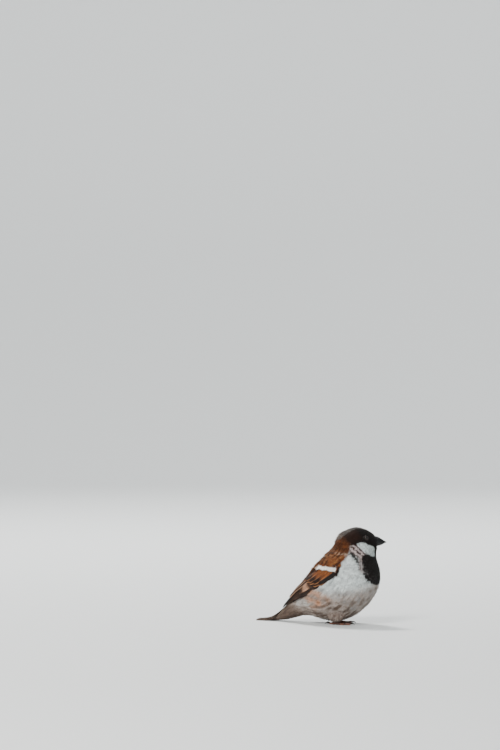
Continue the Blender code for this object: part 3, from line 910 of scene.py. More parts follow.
def make_body_plumage():
    """The coat in pieces from the face to the tail, each under the limit of faces."""
    soft = coat_material("contour feathers")
    for seed, (name, row) in enumerate(COAT_PIECES.items()):
        first, last, slot, barbs, crowding, ragged, painted = row
        roots = scattered(density_for(crowding), first, last, -90, 270)
        length = graded(FEATHER_LENGTH, roots[0])
        depth = graded(COAT_DEPTH, roots[0])
        over = over_wing(*roots)[:, None]
        feather_coat(
            name, on_body, roots, body_look, soft, slot, length=length,
            width=length * FEATHER_SHAPE, root_height=-depth * 0.95,
            tip_height=depth * -0.06 + ruffle(*roots), barbs=barbs, ragged=ragged,
            rise=lambda s, a: wing_rise(s, a) * over + thigh_rise(s, a), painted=painted,
            seed=20 + seed,
        )


make_body_plumage()

# ---------------------------------------- Wing quills
# A folded wing is a closed fan of long quills: nine primaries, six secondaries and three broad
# tertials on top, with stiff coverts over their roots. Each feather is a thin vane of barbs on a
# horn quill, brown-black with a paler edge, and shows its outer web over the next one.

VANE_COLUMNS = np.array([-1, -0.88, -0.74, -0.4, -0.07, 0, 0.07, 0.4, 0.74, 1])
VANE_ROWS = 44
ROWS_CROWD_TIP, ROWS_SLANT = 1.35, 0.10  # rows lie closer at the tip, and slant to it like barbs
VANE_THICKNESS = 0.12
VANE_LAP = 0.10  # how much lower the inner web lies, under the next feather
QUILL_THICKNESS = 0.16
QUILL_PALER = 1.5
SPLIT_WIDTH = 0.011  # of a gap between barbs, as a share of the vane's length
FLOOR_GAP = 0.02  # under all that rests on the floor
BARB_SWEEP = 0.9  # how far barbs run towards the tip for each step away from the quill
BARBS_PER_MM = 3.2


def on_curve(route, share):
    """Both coordinates along a curve that starts, passes halfway and ends at the route's places."""
    root, middle, end = (np.asarray(place, float) for place in route)
    bend = 2 * middle - (root + end) / 2
    s = share[..., None]
    return np.moveaxis((1 - s) ** 2 * root + 2 * s * (1 - s) * bend + s**2 * end, -1, 0)


def slid(at, first, second, way, off):
    """Coordinates of points moved by `off` in the direction `way` over the surface."""
    step = 0.02
    here, _ = at(first, second)
    to_first = (at(first + step, second)[0] - here) / step
    to_second = (at(first, second + step)[0] - here) / step

    def dot(a, b):
        return np.sum(a * b, axis=-1)

    a, b, c = dot(to_first, to_first), dot(to_first, to_second), dot(to_second, to_second)
    u, v = off * dot(way, to_first), off * dot(way, to_second)
    area = a * c - b**2
    return first + (u * c - v * b) / area, second + (v * a - u * b) / area


def vane(at, lift, route, webs, tip, sign, cup=0.12, splits=()):
    """A long feather laid on the surface that `at` reads, as rows from root to tip.

    The route is its root, middle and tip on that surface, and webs the widths of its outer and
    inner web. Tip is the length over which they narrow, and how blunt that is. Lift gives the
    height over the surface, and sign is 1 where the inner web lies to the right of the way back.
    Splits are gaps between barbs: share of the length, side (-1 or 1) and depth.
    """
    t = 1 - (1 - np.linspace(0, 1, VANE_ROWS)[:, None]) ** ROWS_CROWD_TIP
    c = VANE_COLUMNS[None, :]
    share = t + ROWS_SLANT * np.abs(c) * (1 - t)
    first, second = on_curve(route, share)
    here, normal = at(first, second)
    ahead, _ = at(*on_curve(route, share + 0.01))
    length = np.linalg.norm(np.diff(here[:, 5], axis=0), axis=-1).sum()
    across = sign * unit(np.cross(normal, ahead - here))
    tip_share = tip[0] / length
    rounding = np.clip((share - 1 + tip_share) / tip_share, 0, 1) ** tip[1]
    outline = (0.4 + 0.6 * ease(share, 0, 0.3)) * np.sqrt(np.maximum(1 - rounding**2, 0.004))
    width = np.where(c < 0, webs[0], webs[1]) * outline
    for place, side, depth in splits:
        near = np.exp(-(((share - place) / SPLIT_WIDTH) ** 2)) * (np.sign(c) == side)
        width = width * (1 - depth * near * ease(np.abs(c), 0.3, 1))
    off = c * width
    first, second = slid(at, first, second, across, off)
    here, normal = at(first, second)
    quill = QUILL_THICKNESS * (1 - 0.7 * share) * (np.abs(c) < 0.03)
    height = lift(first, second, share) + quill - VANE_LAP * c - cup * c**2
    top = here + normal * height[..., None]
    under = top - normal * VANE_THICKNESS
    return {
        "top": top, "under": under, "share": share, "beside": c + 0 * share, "off": off,
        "along": share * length, "from_edge": (1 - np.abs(c)) * width,
        "from_tip": (1 - share) * length, "sign": sign,
    }


def vane_tint(feather, web, edge, edge_width, tip_width, rng):
    """Colours of a vane: its web, a paler edge, widest on the outer web, and the quill."""
    wide = np.where(feather["beside"] < 0, edge_width, edge_width * 0.5)
    rim = 1 - ease(feather["from_edge"], wide * 0.25, wide * 1.5 + 0.02)
    rim = np.maximum(rim, 1 - ease(feather["from_tip"], tip_width * 0.4, tip_width * 1.5 + 0.02))
    colour = mixed(web, edge, np.clip(rim, 0, 1) * ease(feather["share"], 0.12, 0.35))
    on_quill = np.abs(feather["beside"]) < 0.03
    colour = np.where(on_quill[..., None], colour * QUILL_PALER, colour)
    colour = colour * rng.uniform(0.88, 1.12)
    return np.clip(colour * rng.uniform(0.94, 1.06, feather["share"].shape)[..., None], 0, 1)


def shell_faces(rows, columns):
    """Quads of a thin closed plate: a grid, the same grid under it, and the rim between them."""
    top = grid_faces(rows, columns, False)
    under = rows * columns
    i, j = np.arange(rows), np.arange(columns)
    rim = np.concatenate([
        j, i[1:] * columns + columns - 1, (rows - 1) * columns + j[-2::-1], i[-2:0:-1] * columns
    ])
    following = np.roll(rim, -1)
    sides = np.stack([rim, following, following + under, rim + under], -1)
    return np.concatenate([top, top[:, ::-1] + under, sides])


def vane_piece(name, feathers, tints, material, slot):
    """Joins vanes to one piece, where each has a cell of its own on the bake map."""
    cells = int(np.ceil(np.sqrt(len(feathers))))
    unit_faces = shell_faces(VANE_ROWS, len(VANE_COLUMNS))
    points, faces, colours, bake, barbs = [], [], [], [], []
    for k, (feather, tint) in enumerate(zip(feathers, tints)):
        faces.append(unit_faces[:, :: int(feather["sign"])] + sum(len(p) for p in points))
        for face, level in (("top", FLOOR_GAP + VANE_THICKNESS), ("under", FLOOR_GAP)):
            feather[face][..., 2] = np.maximum(feather[face][..., 2], level)
            points.append(feather[face].reshape(-1, 3))
        # The under face is tinted a tenth darker than the top: painted shade
        colours.append(np.concatenate([tint.reshape(-1, 3), tint.reshape(-1, 3) * 0.9]))
        u, v = (feather["beside"].ravel() + 1) / 2, feather["share"].ravel()
        for half in (0, 1):
            spot = np.stack([0.04 + 0.42 * u + 0.5 * half, 0.04 + 0.92 * v], -1)
            bake.append((spot + (k % cells, k // cells)) / cells)
            along = feather["along"].ravel() + 61.0 * k  # far from the next feather's barbs
            barbs.append(np.stack([feather["off"].ravel(), along], -1))
    return mesh_piece(
        name, np.concatenate(points), np.concatenate(faces), material, slot,
        np.concatenate(colours), [("OFBake", np.concatenate(bake)), ("vane", np.concatenate(barbs))],
    )


def vane_material(name, roughness):
    """Stiff feather stuff: the tint, combed into barbs that slant from the quill to the tip."""
    material = coat_material(name, roughness, sheen=0.0, contrast=0.75, relief=0.9)
    tree = material.node_tree
    vane_map = new_node(tree, "ShaderNodeUVMap", {}, uv_map="vane").outputs["UV"]
    place = new_node(tree, "ShaderNodeSeparateXYZ", {"Vector": vane_map}).outputs
    off_quill = worked_out(tree, "ABSOLUTE", place["X"])
    slant = worked_out(tree, "MULTIPLY_ADD", off_quill, -BARB_SWEEP, place["Y"])
    spaced = worked_out(tree, "MULTIPLY", slant, BARBS_PER_MM)
    combed = new_node(tree, "ShaderNodeCombineXYZ", {"X": spaced, "Y": place["X"]})
    barbs = tree.nodes["barbs"]
    barbs.inputs["Scale"].default_value = 1.0
    tree.links.new(combed.outputs["Vector"], barbs.inputs["Vector"])
    return material


def side_angle(side, elevation):
    """Angle round the body of an elevation on one side."""
    return elevation if side == "left" else 180 - elevation


def wing_outside(station, angle):
    """Height of the folded wing's outside over the body, held level past its edges."""
    _, _, thick = wing_row(station)
    across = np.clip(wing_share(station, angle), 0, 1)
    crown = np.clip(np.sin(np.pi * across), 0, 1) ** 0.7
    return WING_GAP + WING_RIM + np.maximum(thick - WING_RIM, 0) * crown


def wing_place(side, along, across):
    """Station and angle on the body under a place on the folded wing, both from 0 to 1."""
    first, last = WING_STATIONS[0][0], WING_STATIONS[-1][0]
    station = first + along * (last - first)
    low, high, _ = wing_row(station)
    return np.array([station, side_angle(side, low + (high - low) * across)], float)


WING_BASE = 0.35  # height of the lowest layer over the body
FLIGHT_DARK, FLIGHT_EDGE = (0.0135, 0.0080, 0.0062), (0.17, 0.086, 0.050)
TERTIAL_DARK, TERTIAL_EDGE = (0.012, 0.0068, 0.0052), (0.46, 0.26, 0.165)
ALULA_BLACK, ALULA_EDGE = (0.013, 0.0095, 0.0085), (0.06, 0.035, 0.025)
PRIMARY_COVERT_EDGE = (0.10, 0.055, 0.032)
COVERT_DARK, COVERT_BUFF = (0.018, 0.0095, 0.007), (0.27, 0.115, 0.048)
COVERT_RUFOUS = (0.26, 0.080, 0.024)
PANEL_BUFF = (0.52, 0.285, 0.175)
WING_DOWN = (0.02, 0.015, 0.012)
BED_LEVEL, BED_THICKNESS = 0.18, 0.2
BED_ALONG, BED_ACROSS = (0.02, 0.80), (0.17, 0.97)
BED_NARROWS = (0.56, 0.76)  # where along the wing its upper part draws in

# Rows of wing feathers, from the lowest layer up. Each value runs from the row's first feather
# (nearest the wing's lower edge) to its last: root, middle and tip as (along, across), outer and
# inner web, tip length and bluntness, height of root and tip as a share of the wing's thickness.
# Edges are the widths of the pale edge beside the outer web and at the tip.
WING_ROWS = {
    "primaries": dict(
        count=9, root=((0.22, 0.14), (0.28, 0.28)), middle=((0.62, 0.20), (0.56, 0.44)),
        tip=((0.985, 0.24), (0.80, 0.62)), webs=((1.3, 3.0), (1.5, 3.4)), ends=(9, 1.2),
        level=(0.22, 1.0), web=FLIGHT_DARK, edge=FLIGHT_EDGE, edges=(0.08, 0.06),
    ),
    "secondaries": dict(
        count=6, root=((0.28, 0.26), (0.32, 0.47)), middle=((0.54, 0.38), (0.50, 0.62)),
        tip=((0.80, 0.52), (0.72, 0.72)), webs=((1.9, 3.6), (2.2, 3.8)), ends=(5, 1.8),
        level=(0.45, 0.74), web=FLIGHT_DARK, edge=FLIGHT_EDGE, edges=(0.22, 0.15),
    ),
    "tertials": dict(
        count=3, root=((0.30, 0.62), (0.30, 0.86)), middle=((0.52, 0.64), (0.44, 0.86)),
        tip=((0.79, 0.66), (0.64, 0.86)), webs=((3.5, 3.6), (3.3, 3.3)), ends=(6, 1.7),
        level=(0.62, 1.45), web=TERTIAL_DARK, edge=TERTIAL_EDGE, edges=(0.52, 0.40),
    ),
    "alula": dict(
        count=3, root=((0.10, 0.04), (0.12, 0.08)), middle=((0.20, 0.08), (0.22, 0.12)),
        tip=((0.31, 0.14), (0.35, 0.17)), webs=((1.3, 1.8), (1.3, 2.0)), ends=(4, 1.6),
        level=(0.5, 0.92), web=ALULA_BLACK, edge=ALULA_EDGE, edges=(0.2, 0.2),
    ),
    "primary_coverts": dict(
        count=6, root=((0.14, 0.10), (0.18, 0.26)), middle=((0.28, 0.13), (0.30, 0.26)),
        tip=((0.43, 0.165), (0.42, 0.28)), webs=((1.2, 2.0), (1.4, 2.2)), ends=(4, 1.5),
        level=(0.35, 0.72), web=ALULA_BLACK, edge=PRIMARY_COVERT_EDGE, edges=(0.2, 0.2),
    ),
    "greater_coverts": dict(
        count=12, root=((0.12, 0.12), (0.24, 0.92)), middle=((0.25, 0.135), (0.36, 0.91)),
        tip=((0.375, 0.175), (0.475, 0.89)), webs=((2.0, 2.6), (2.3, 2.7)), ends=(6, 1.5),
        level=(0.45, 0.93), web=COVERT_DARK, edge=COVERT_BUFF, edges=(0.72, 0.16),
    ),
}


def blend(pair, f):
    """A value between the two of a pair."""
    return np.asarray(pair[0], float) * (1 - f) + np.asarray(pair[1], float) * f


def wing_feather_tint(name, feather, f, rng):
    """Tints of one vane in its row: edges, the coverts' rufous base and the pale wing panel."""
    row, share, beside = WING_ROWS[name], feather["share"], feather["beside"]
    narrow = 1 - 0.45 * ease(f, 0.52, 0.66) * (name == "greater_coverts")
    tint = vane_tint(feather, row["web"], row["edge"], *(narrow * w for w in row["edges"]), rng)
    if name == "greater_coverts":
        rufous = (1 - ease(share, 0.5, 0.75)) * (1 - 0.5 * ease(beside, -0.5, 0.1))
        tint = mixed(tint, COVERT_RUFOUS, rufous * 0.75 * (1 - 0.9 * ease(f, 0.52, 0.66)))
    if name in ("primaries", "secondaries"):
        tint = mixed(tint, np.array(FLIGHT_DARK) * 0.6, 0.85 * ease(share, 0.62, 0.85))
    if name == "secondaries":
        panel = ease(share, 0.30, 0.38) * (1 - ease(share, 0.46, 0.56))
        outer = 1 - ease(beside, -0.5, 0.0)
        tint = mixed(tint, PANEL_BUFF, 0.8 * panel * outer)
    return tint


def wing_row_feathers(side, name, rng):
    """The vanes of one row of wing feathers, and their tints."""
    row, feathers, tints = WING_ROWS[name], [], []
    low, high = row["level"]
    for k in range(row["count"]):
        f = k / (row["count"] - 1)
        route = [blend(row[place], f) for place in ("root", "middle", "tip")]
        slip = rng.normal(0, 0.004, 2)
        slip[0] += rng.uniform(-0.02, 0.02) * (name == "greater_coverts")
        route = [wing_place(side, *(place + slip * w)) for place, w in zip(route, (0, 0.5, 1))]
        order = 0.05 * k

        def lift(station, angle, share):
            level = low + (high - low) * ease(share, 0.25, 0.95)
            above = (wing_outside(station, angle) - WING_BASE) * level
            return WING_BASE + above + order * (1 - 0.6 * share)

        splits = [
            (rng.uniform(0.4, 0.93), rng.choice([-1, 1]), rng.uniform(0.25, 0.55))
            for _ in range(rng.integers(0, 3))
        ]
        webs = blend(row["webs"], f)
        feather = vane(on_body, lift, route, webs, row["ends"], OUTWARD[side], splits=splits)
        feathers.append(feather)
        tints.append(wing_feather_tint(name, feather, f, rng))
    return feathers, tints


def make_wing_bed(side, material):
    """The dark bed of down that the quills lie on."""
    along, across = np.meshgrid(
        np.linspace(*BED_ALONG, 60), np.linspace(*BED_ACROSS, 24), indexing="ij"
    )
    across = across - 0.5 * (across - BED_ACROSS[0]) * ease(along, *BED_NARROWS)
    station, angle = wing_place(side, along, across)
    place, normal = on_body(station, angle)
    height = WING_BASE + (wing_outside(station, angle) - WING_BASE) * BED_LEVEL
    points = np.concatenate([
        (place + normal * (height - drop)[..., None]).reshape(-1, 3)
        for drop in (0, BED_THICKNESS)
    ])
    corner = np.stack([0.02 + 0.96 * along, 0.02 + 0.46 * across], -1).reshape(-1, 2)
    bed = mesh_piece(
        f"wing_bed_{side}", points, shell_faces(*along.shape)[:, :: OUTWARD[side]], material,
        "flight_feathers", np.broadcast_to(WING_DOWN, points.shape),
        [("OFBake", np.concatenate([corner, corner + (0, 0.5)]))],
    )
    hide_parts(f"wing_{side}", f"wing_tip_{side}")


def make_wing_rows(side, material, seed):
    rng = np.random.default_rng(seed)
    for name in WING_ROWS:
        feathers, tints = wing_row_feathers(side, name, rng)
        slot = "chestnut_feathers" if "covert" in name else "flight_feathers"
        vane_piece(f"{name}_{side}", feathers, tints, material, slot)


quill_stuff = vane_material("flight feathers", 0.62)
covert_stuff = coat_material("wing coverts")
for seed, side in enumerate(SIDES):
    make_wing_bed(side, covert_stuff)
    make_wing_rows(side, quill_stuff, 60 + seed)

# ---------------------------------------- Wing coverts and scapulars
# Soft feathers over the roots of the quills: small chestnut ones on the bend of the wing, and two
# laps with long white tips behind them, which make the white bar. Broad scapulars with black
# middles hang from the back over the wing's upper edge.

BAR_WHITE = (0.92, 0.88, 0.82)
BAR_TAN = (0.52, 0.29, 0.16)
LESSER_CHESTNUT = (0.132, 0.035, 0.0095)
LESSER_RUFOUS = (0.29, 0.115, 0.033)
MM_ALONG_WING = 63  # what one whole step of `along` measures
# The white bar's middle on the wing: across from the lower edge, along from the front
WHITE_BAR = (
    (0.06, 0.116), (0.10, 0.124), (0.30, 0.160), (0.55, 0.198), (0.80, 0.234), (0.98, 0.252),
)
# Laps of feathers: first and last place, how many, and a value for the whole lap.
# Median coverts: places across the wing, and how far along it their tips pass the bar's middle
MEDIAN_LAPS = ((0.07, 0.96, 15, 0.054), (0.10, 0.98, 14, 0.040))
# Scapulars: stations on the body, and degrees from the wing's upper edge up to their roots
SCAPULAR_LAPS = ((5.8, 8.3, 12, 9.0), (6.0, 8.0, 9, 1.0))


def laid_in_laps(laps):
    """The even places of all feathers in the laps, and the value of each one's lap."""
    places = [np.linspace(first, last, count) for first, last, count, _ in laps]
    values = [np.full(count, value) for _, _, count, value in laps]
    return np.concatenate(places), np.concatenate(values)


def make_median_coverts(side, soft, seed):
    """The two laps of the white bar, dark at their bases and tan towards the back."""
    across, past = laid_in_laps(MEDIAN_LAPS)
    tip = graded(WHITE_BAR, across) + past
    root = tip - graded(((0.06, 0.070), (0.30, 0.115)), across)
    length = (tip - root) * MM_ALONG_WING

    def look(station, angle, rng):
        count = len(station)
        web = np.array(BAR_WHITE) * rng.uniform(0.9, 1.05, (count, 1))
        web = mixed(web, BAR_TAN, ease(wing_share(station, angle), 0.62, 0.84))
        return {
            "root": np.zeros((count, 3)) + ALULA_BLACK, "web": web,
            "streak": web * 0.55, "streak_share": rng.uniform(0, 0.35, count),
            "fringe": web, "fringe_share": np.ones(count),
        }

    feather_coat(
        f"median_coverts_{side}", on_body, wing_place(side, root, across), look, soft,
        "chestnut_feathers", length=length, width=np.full(len(root), 4.2),
        root_height=length * -0.12, tip_height=np.full(len(root), 0.10), barbs=16, ragged=0.7,
        lie=3.0, rise=wing_outside, seed=66 + seed,
    )


def make_lesser_coverts(side, soft, seed):
    """Chestnut feathers from the wing's front edge to the white bar, black along the rim."""

    def crowd(station, angle):
        across = wing_share(station, angle)
        along = (station - WING_STATIONS[0][0]) / (WING_STATIONS[-1][0] - WING_STATIONS[0][0])
        before_bar = along < graded(WHITE_BAR, across) - 0.070
        shoulder = (across > 0.0) & (across < 1.0) & before_bar
        rim = (across > -0.02) & (across < 0.06) & (along > 0.04) & (along < 0.15)
        return (along > 0.0) * (shoulder * 1.0 + rim * 1.3)

    def look(station, angle, rng):
        count = len(station)
        web = mixed(LESSER_CHESTNUT, COVERT_RUFOUS, rng.uniform(0, 0.5, count))
        dark = (wing_share(station, angle) < 0.065) & (station > 5.9)
        patch = mottle(station, elevation_of(angle), 3.6, 2.6, 16) + rng.normal(0, 0.15, count)
        web = mixed(web, LESSER_RUFOUS, ease(patch, 0.0, 1.0) * 0.85)
        web = mixed(web, MANTLE_BLACK, ease(-patch, 0.1, 1.0) * 0.8)
        web = mixed(web, ALULA_BLACK, dark * rng.uniform(0.85, 1.0, count))
        return {
            "root": web * 0.3, "web": web,
            "streak": web * 0.45, "streak_share": rng.uniform(0.2, 0.8, count),
            "fringe": mixed(web, MANTLE_BUFF, 0.4 * (1 - dark)),
            "fringe_share": rng.uniform(0, 0.9, count),
        }

    first, last = sorted(side_angle(side, e) for e in (0, 90))
    roots = scattered(crowd, 5.4, 7.4, first, last)
    length = 4.4 - 1.3 * (wing_share(*roots) < 0.09)
    feather_coat(
        f"lesser_coverts_{side}", on_body, roots, look, soft, "chestnut_feathers", length=length,
        width=length * 0.58, root_height=length * -0.16, tip_height=length * 0.02, barbs=11,
        ragged=0.8, lie=6.0, heading=-4.0 * OUTWARD[side], rise=wing_outside, seed=70 + seed,
    )


def make_scapulars(side, soft, seed):
    """Two rows of shoulder feathers, longer towards the rear."""
    station, above = laid_in_laps(SCAPULAR_LAPS)
    _, high, _ = wing_row(np.maximum(station, 5.6))
    angle = side_angle(side, np.minimum(high + above, 86))

    def look(station, angle, rng):
        count = len(station)
        web = mixed(CHESTNUT, MANTLE_BUFF, rng.uniform(0.0, 0.55, count))
        web = mixed(web, MANTLE_BLACK, 0.6 * ease(station, 7.6, 8.4))
        return {
            "root": web * 0.4, "web": web,
            "streak": np.zeros((count, 3)) + MANTLE_BLACK,
            "streak_share": np.where(rng.random(count) < 0.75, 0.92, 0.3),
            "fringe": np.zeros((count, 3)) + MANTLE_BUFF,
            "fringe_share": rng.uniform(0.3, 0.8, count),
        }

    length = 7.5 + 5.0 * ease(station, 5.8, 7.6)
    feather_coat(
        f"scapulars_{side}", on_body, (station, angle), look, soft, "chestnut_feathers",
        length=length, width=length * 0.52, root_height=length * -0.06,
        tip_height=length * 0.035 + 0.5 * ease(-station, -7.6, -6.6), barbs=16, ragged=0.9,
        lie=5.0, heading=-19.0 * OUTWARD[side], rise=wing_rise, seed=80 + seed,
    )


for seed, side in enumerate(SIDES):
    make_median_coverts(side, covert_stuff, seed)
    make_lesser_coverts(side, covert_stuff, seed)
    make_scapulars(side, covert_stuff, seed)

# ---------------------------------------- Tail
# Twelve flat quills, the middle pair on top and the outermost lowest, closed to a shallow roof
# that lies on the floor. They are grey-brown with paler edges and stand out from the coverts.

# x, mid height, half width, half thickness
TAIL_STATIONS = (
    (-63.6, 10.6, 7.1, 2.1), (-69.0, 6.5, 7.4, 1.8), (-74.0, 3.7, 7.7, 1.5),
    (-79.0, 2.1, 7.9, 1.25), (-85.0, 1.3, 8.1, 1.0), (-92.0, 1.05, 8.3, 0.8),
)
TAIL_ROOF = 0.7
TAIL_PAIRS = 6
TAIL_ROOTS, TAIL_BEND, TAIL_TIPS = 61.5, 76.0, 90.4  # how far back from the origin
TAIL_BROWN = (0.034, 0.022, 0.017)
TAIL_EDGE = (0.15, 0.10, 0.075)


def on_tail(back, across):
    """The tail's top at a distance back from the origin and -1 to 1 across, and its normal."""
    table = [(-row[0], *row[1:]) for row in TAIL_STATIONS]

    def place(back, across):
        height, half_width, half_thick = (eased(table, k, back) for k in (1, 2, 3))
        short = np.minimum(back + TAIL_STATIONS[0][0], 0)  # goes on straight towards the root
        middle = height - 0.8 * short - TAIL_ROOF * across**2
        z = middle + half_thick * np.sqrt(1 - 0.75 * np.minimum(across**2, 1))
        return np.stack([-back, half_width * across, z], axis=-1)

    back, across = np.broadcast_arrays(back, across)
    here = place(back, across)
    normal = np.cross(place(back, across + 0.01) - here, place(back + 0.05, across) - here)
    return here, unit(normal)


def make_tail():
    stiff = vane_material("tail feathers", 0.58)
    feathers, tints = [], []
    rng = np.random.default_rng(90)
    for sign in (1, -1):
        for pair in range(TAIL_PAIRS):
            f = pair / (TAIL_PAIRS - 1)
            end = TAIL_TIPS + 1.5 * np.sin(f * np.pi * 0.8) - 0.5 * f
            route = [
                (TAIL_ROOTS, sign * (0.10 + 0.45 * f)), (TAIL_BEND, sign * (0.11 + 0.60 * f)),
                (end, sign * (0.13 + 0.68 * f)),
            ]
            webs = (2.9 - 1.5 * f, 3.2 + 0.2 * f)

            def lift(back, across, share):
                thick = eased([(-row[0], row[3]) for row in TAIL_STATIONS], 1, back)
                return -thick * 1.45 * f - 0.02

            splits = [(rng.uniform(0.5, 0.93), rng.choice([-1, 1]), rng.uniform(0.2, 0.5))]
            feathers.append(vane(on_tail, lift, route, webs, (5, 1.6), sign, 0.10, splits))
            tints.append(vane_tint(feathers[-1], TAIL_BROWN, TAIL_EDGE, 0.32, 0.25, rng))
    tail = vane_piece("tail_feathers", feathers, tints, stiff, "flight_feathers")
    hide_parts("tail")


make_tail()

# ---------------------------------------- Bill
# Two halves of dark horn over bone, stout at the root and coming to a point. The upper one laps
# over the lower at the cutting edge and at the tip, and has a nostril pit on either side.

# culmen (x, z), cutting edge (x, z), gonys (x, z), half width; the first lies in the feathers
BILL_STATIONS = (
    ((26.4, 81.0), (27.3, 75.2), (28.2, 71.5), 4.1),
    ((29.2, 80.9), (30.1, 75.3), (30.7, 71.9), 3.9),
    ((31.8, 80.1), (32.1, 75.4), (32.4, 72.3), 3.4),
    ((34.6, 78.3), (34.7, 75.45), (34.7, 73.2), 2.5),
    ((37.0, 76.8), (37.0, 75.5), (36.9, 74.5), 1.3),
    ((38.7, 75.8), (38.7, 75.4), (38.4, 75.1), 0.35),
)
HORN_BLACK = (0.0050, 0.0052, 0.0058)
HORN_BROWN = (0.075, 0.034, 0.020)
# Near black of the nostril pits: painted shade in their openings
NOSTRIL_PIT_SHADE = (0.004, 0.004, 0.004)
NOSTRIL_PLACE = (1.55, 52)  # station, degrees up the side
NOSTRIL_REACH = (0.2, 11)
NOSTRIL_DEPTH = 0.52
HEAD_TURN = 30


def horn_material(name, roughness, fineness=700.0):
    """Horn: the mesh's own tint with fine lengthwise lines and a soft polish."""
    material, tree, shader = new_material(
        name, {"Specular IOR Level": 0.3, "Coat Weight": 0.06, "Coat Roughness": 0.3}
    )
    drawn_out = new_node(tree, "ShaderNodeMapping", {
        "Vector": own_place(tree), "Rotation": (0, 0, np.radians(-HEAD_TURN)),
        "Scale": (0.12, 1, 1),
    }).outputs["Vector"]
    grain = noise(tree, drawn_out, fineness, 4.0)
    shade = ranged(tree, grain, 0.65, 1.35)
    set_surface(tree, shader, shade, grain, (roughness - 0.08, roughness + 0.12), (0.3, 0.00008))
    return material


def bill_rings(station, arc, inside, upper):
    """Rings of one half from root to tip: the outside from rim to rim, and the roof within."""
    culmen, edge, gonys = (through([row[k] for row in BILL_STATIONS], station) for k in range(3))
    width = through([row[3] for row in BILL_STATIONS], station)
    hook = ease(station, 4.2, 5.0)
    ridge = culmen if upper else gonys
    rim = edge.copy()
    rim[:, 1] += -0.12 - 0.16 * hook if upper else -0.04
    half = width if upper else width * (0.95 - 0.15 * hook)
    side = np.sin(arc) ** 0.9
    outer = rim[:, None] + (ridge - rim)[:, None] * side[None, :, None]
    outer_y = half[:, None] * (np.cos(arc) * (1 - 0.08 * np.sin(arc) ** 2))[None, :]
    roof = rim[:, None] + (ridge - rim)[:, None] * (0.3 * np.sin(inside))[None, :, None]
    roof_y = half[:, None] * 0.86 * np.cos(inside)[None, :]
    ring = np.concatenate([outer, roof], axis=1)
    across = np.concatenate([outer_y, roof_y], axis=1)
    points = turned(ring[..., 0], across, ring[..., 1], HEAD_TURN)
    for end in (0, -1):
        points[end] = points[end].mean(axis=0)
    return points


def make_bill():
    horn = horn_material("bill horn", 0.42)
    station = np.linspace(0, len(BILL_STATIONS) - 1, 66)
    arc = np.linspace(0, np.pi, 41)
    inside = np.linspace(np.pi, 0, 14)[1:-1]
    up = np.concatenate([np.degrees(np.minimum(arc, np.pi - arc)), np.zeros(len(inside))])
    at, level = np.meshgrid(station, up, indexing="ij")
    tip = ease(at, 3.9, 4.9)
    for name, sign in (("bill_upper", 1), ("bill_lower", -1)):
        points = bill_rings(station, arc, inside, sign > 0)
        if sign > 0:
            back = (at - NOSTRIL_PLACE[0]) / NOSTRIL_REACH[0]
            rise = (level - NOSTRIL_PLACE[1]) / NOSTRIL_REACH[1]
            pit = np.exp(-(back**2 + rise**2) * 1.3) * (np.arange(len(up)) < len(arc))
            centre = points.mean(axis=1, keepdims=True)
            points = points + unit(centre - points) * (NOSTRIL_DEPTH * pit)[..., None]
            # The nostril pits are tinted near black: painted shade in their openings
            tint = mixed(mixed(HORN_BLACK, HORN_BROWN, 0.75 * tip), NOSTRIL_PIT_SHADE, 0.9 * pit)
        else:
            brown = np.clip(0.55 * ease(level, 25, 80) + 0.5 * tip, 0, 0.9) * ease(at, 1.2, 2.4)
            tint = mixed(HORN_BLACK, HORN_BROWN, brown)
        half = mesh_piece(
            f"horn_{name}", points.reshape(-1, 3), grid_faces(*at.shape, True)[:, ::sign], horn,
            "black_horn", tint.reshape(-1, 3), welded=True,
        )
        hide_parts(name)


make_bill()

# ---------------------------------------- Eyes and lids
# A dark brown eye with a black pupil under a wet, slightly bulging cornea. Two bare grey lids
# with beaded rims close round it to an almond.

LID_GREY = (0.0095, 0.0075, 0.0070)
LID_EDGE_GREY = (0.011, 0.009, 0.0085)
IRIS_BROWN = (0.020, 0.0085, 0.004)
PUPIL_BLACK = (0.002, 0.002, 0.002)
CORNEA_BULGE = 0.13
# A lid's section, from the wet rim outwards and back underneath: degrees out, radius
LID_SECTION = np.array([
    (0, 2.57), (-0.4, 2.65), (0.4, 2.72), (2, 2.76), (4.5, 2.74), (7, 2.68), (12, 2.66),
    (20, 2.66), (30, 2.60), (38, 2.5), (20, 2.50), (8, 2.53),
])


def eye_axes(angle):
    """Centre of an eye, and its outward, backward and upward directions."""
    here, outward = spot_on_body(EYE_STATION, angle)
    behind, _ = spot_on_body(EYE_STATION + 0.05, angle)
    rearward = unit(behind - here)
    up = np.cross(rearward, outward)
    up = up * np.sign(up[2])
    back = np.cross(up, outward)
    back = unit(back) * np.sign(back @ rearward)
    return eye_centre(angle), outward, back, unit(up)


def round_the_eye(axes, polar, turn, radius):
    """Points at angles from the outward axis and round it, at a radius from the centre."""
    centre, outward, back, up = axes
    ring = np.cos(turn)[..., None] * back + np.sin(turn)[..., None] * up
    spoke = np.cos(polar)[..., None] * outward + np.sin(polar)[..., None] * ring
    return centre + spoke * np.asarray(radius)[..., None]


def eye_material():
    """A wet, clear front over the tint of iris and pupil."""
    material, tree, shader = new_material(
        "wet eye", {"Roughness": 0.06, "IOR": 1.34, "Coat Weight": 0.15, "Coat Roughness": 0.02}
    )
    tree.links.new(own_tint(tree), shader.inputs["Base Color"])
    return material


def lid_material():
    """Bare skin, finer and a little glossier than the feathers."""
    material = coat_material("bare lid", 0.55, sheen=0.0, contrast=0.5, barb_size=0.00025)
    material.node_tree.nodes["Principled BSDF"].inputs["Specular IOR Level"].default_value = 0.25
    return material


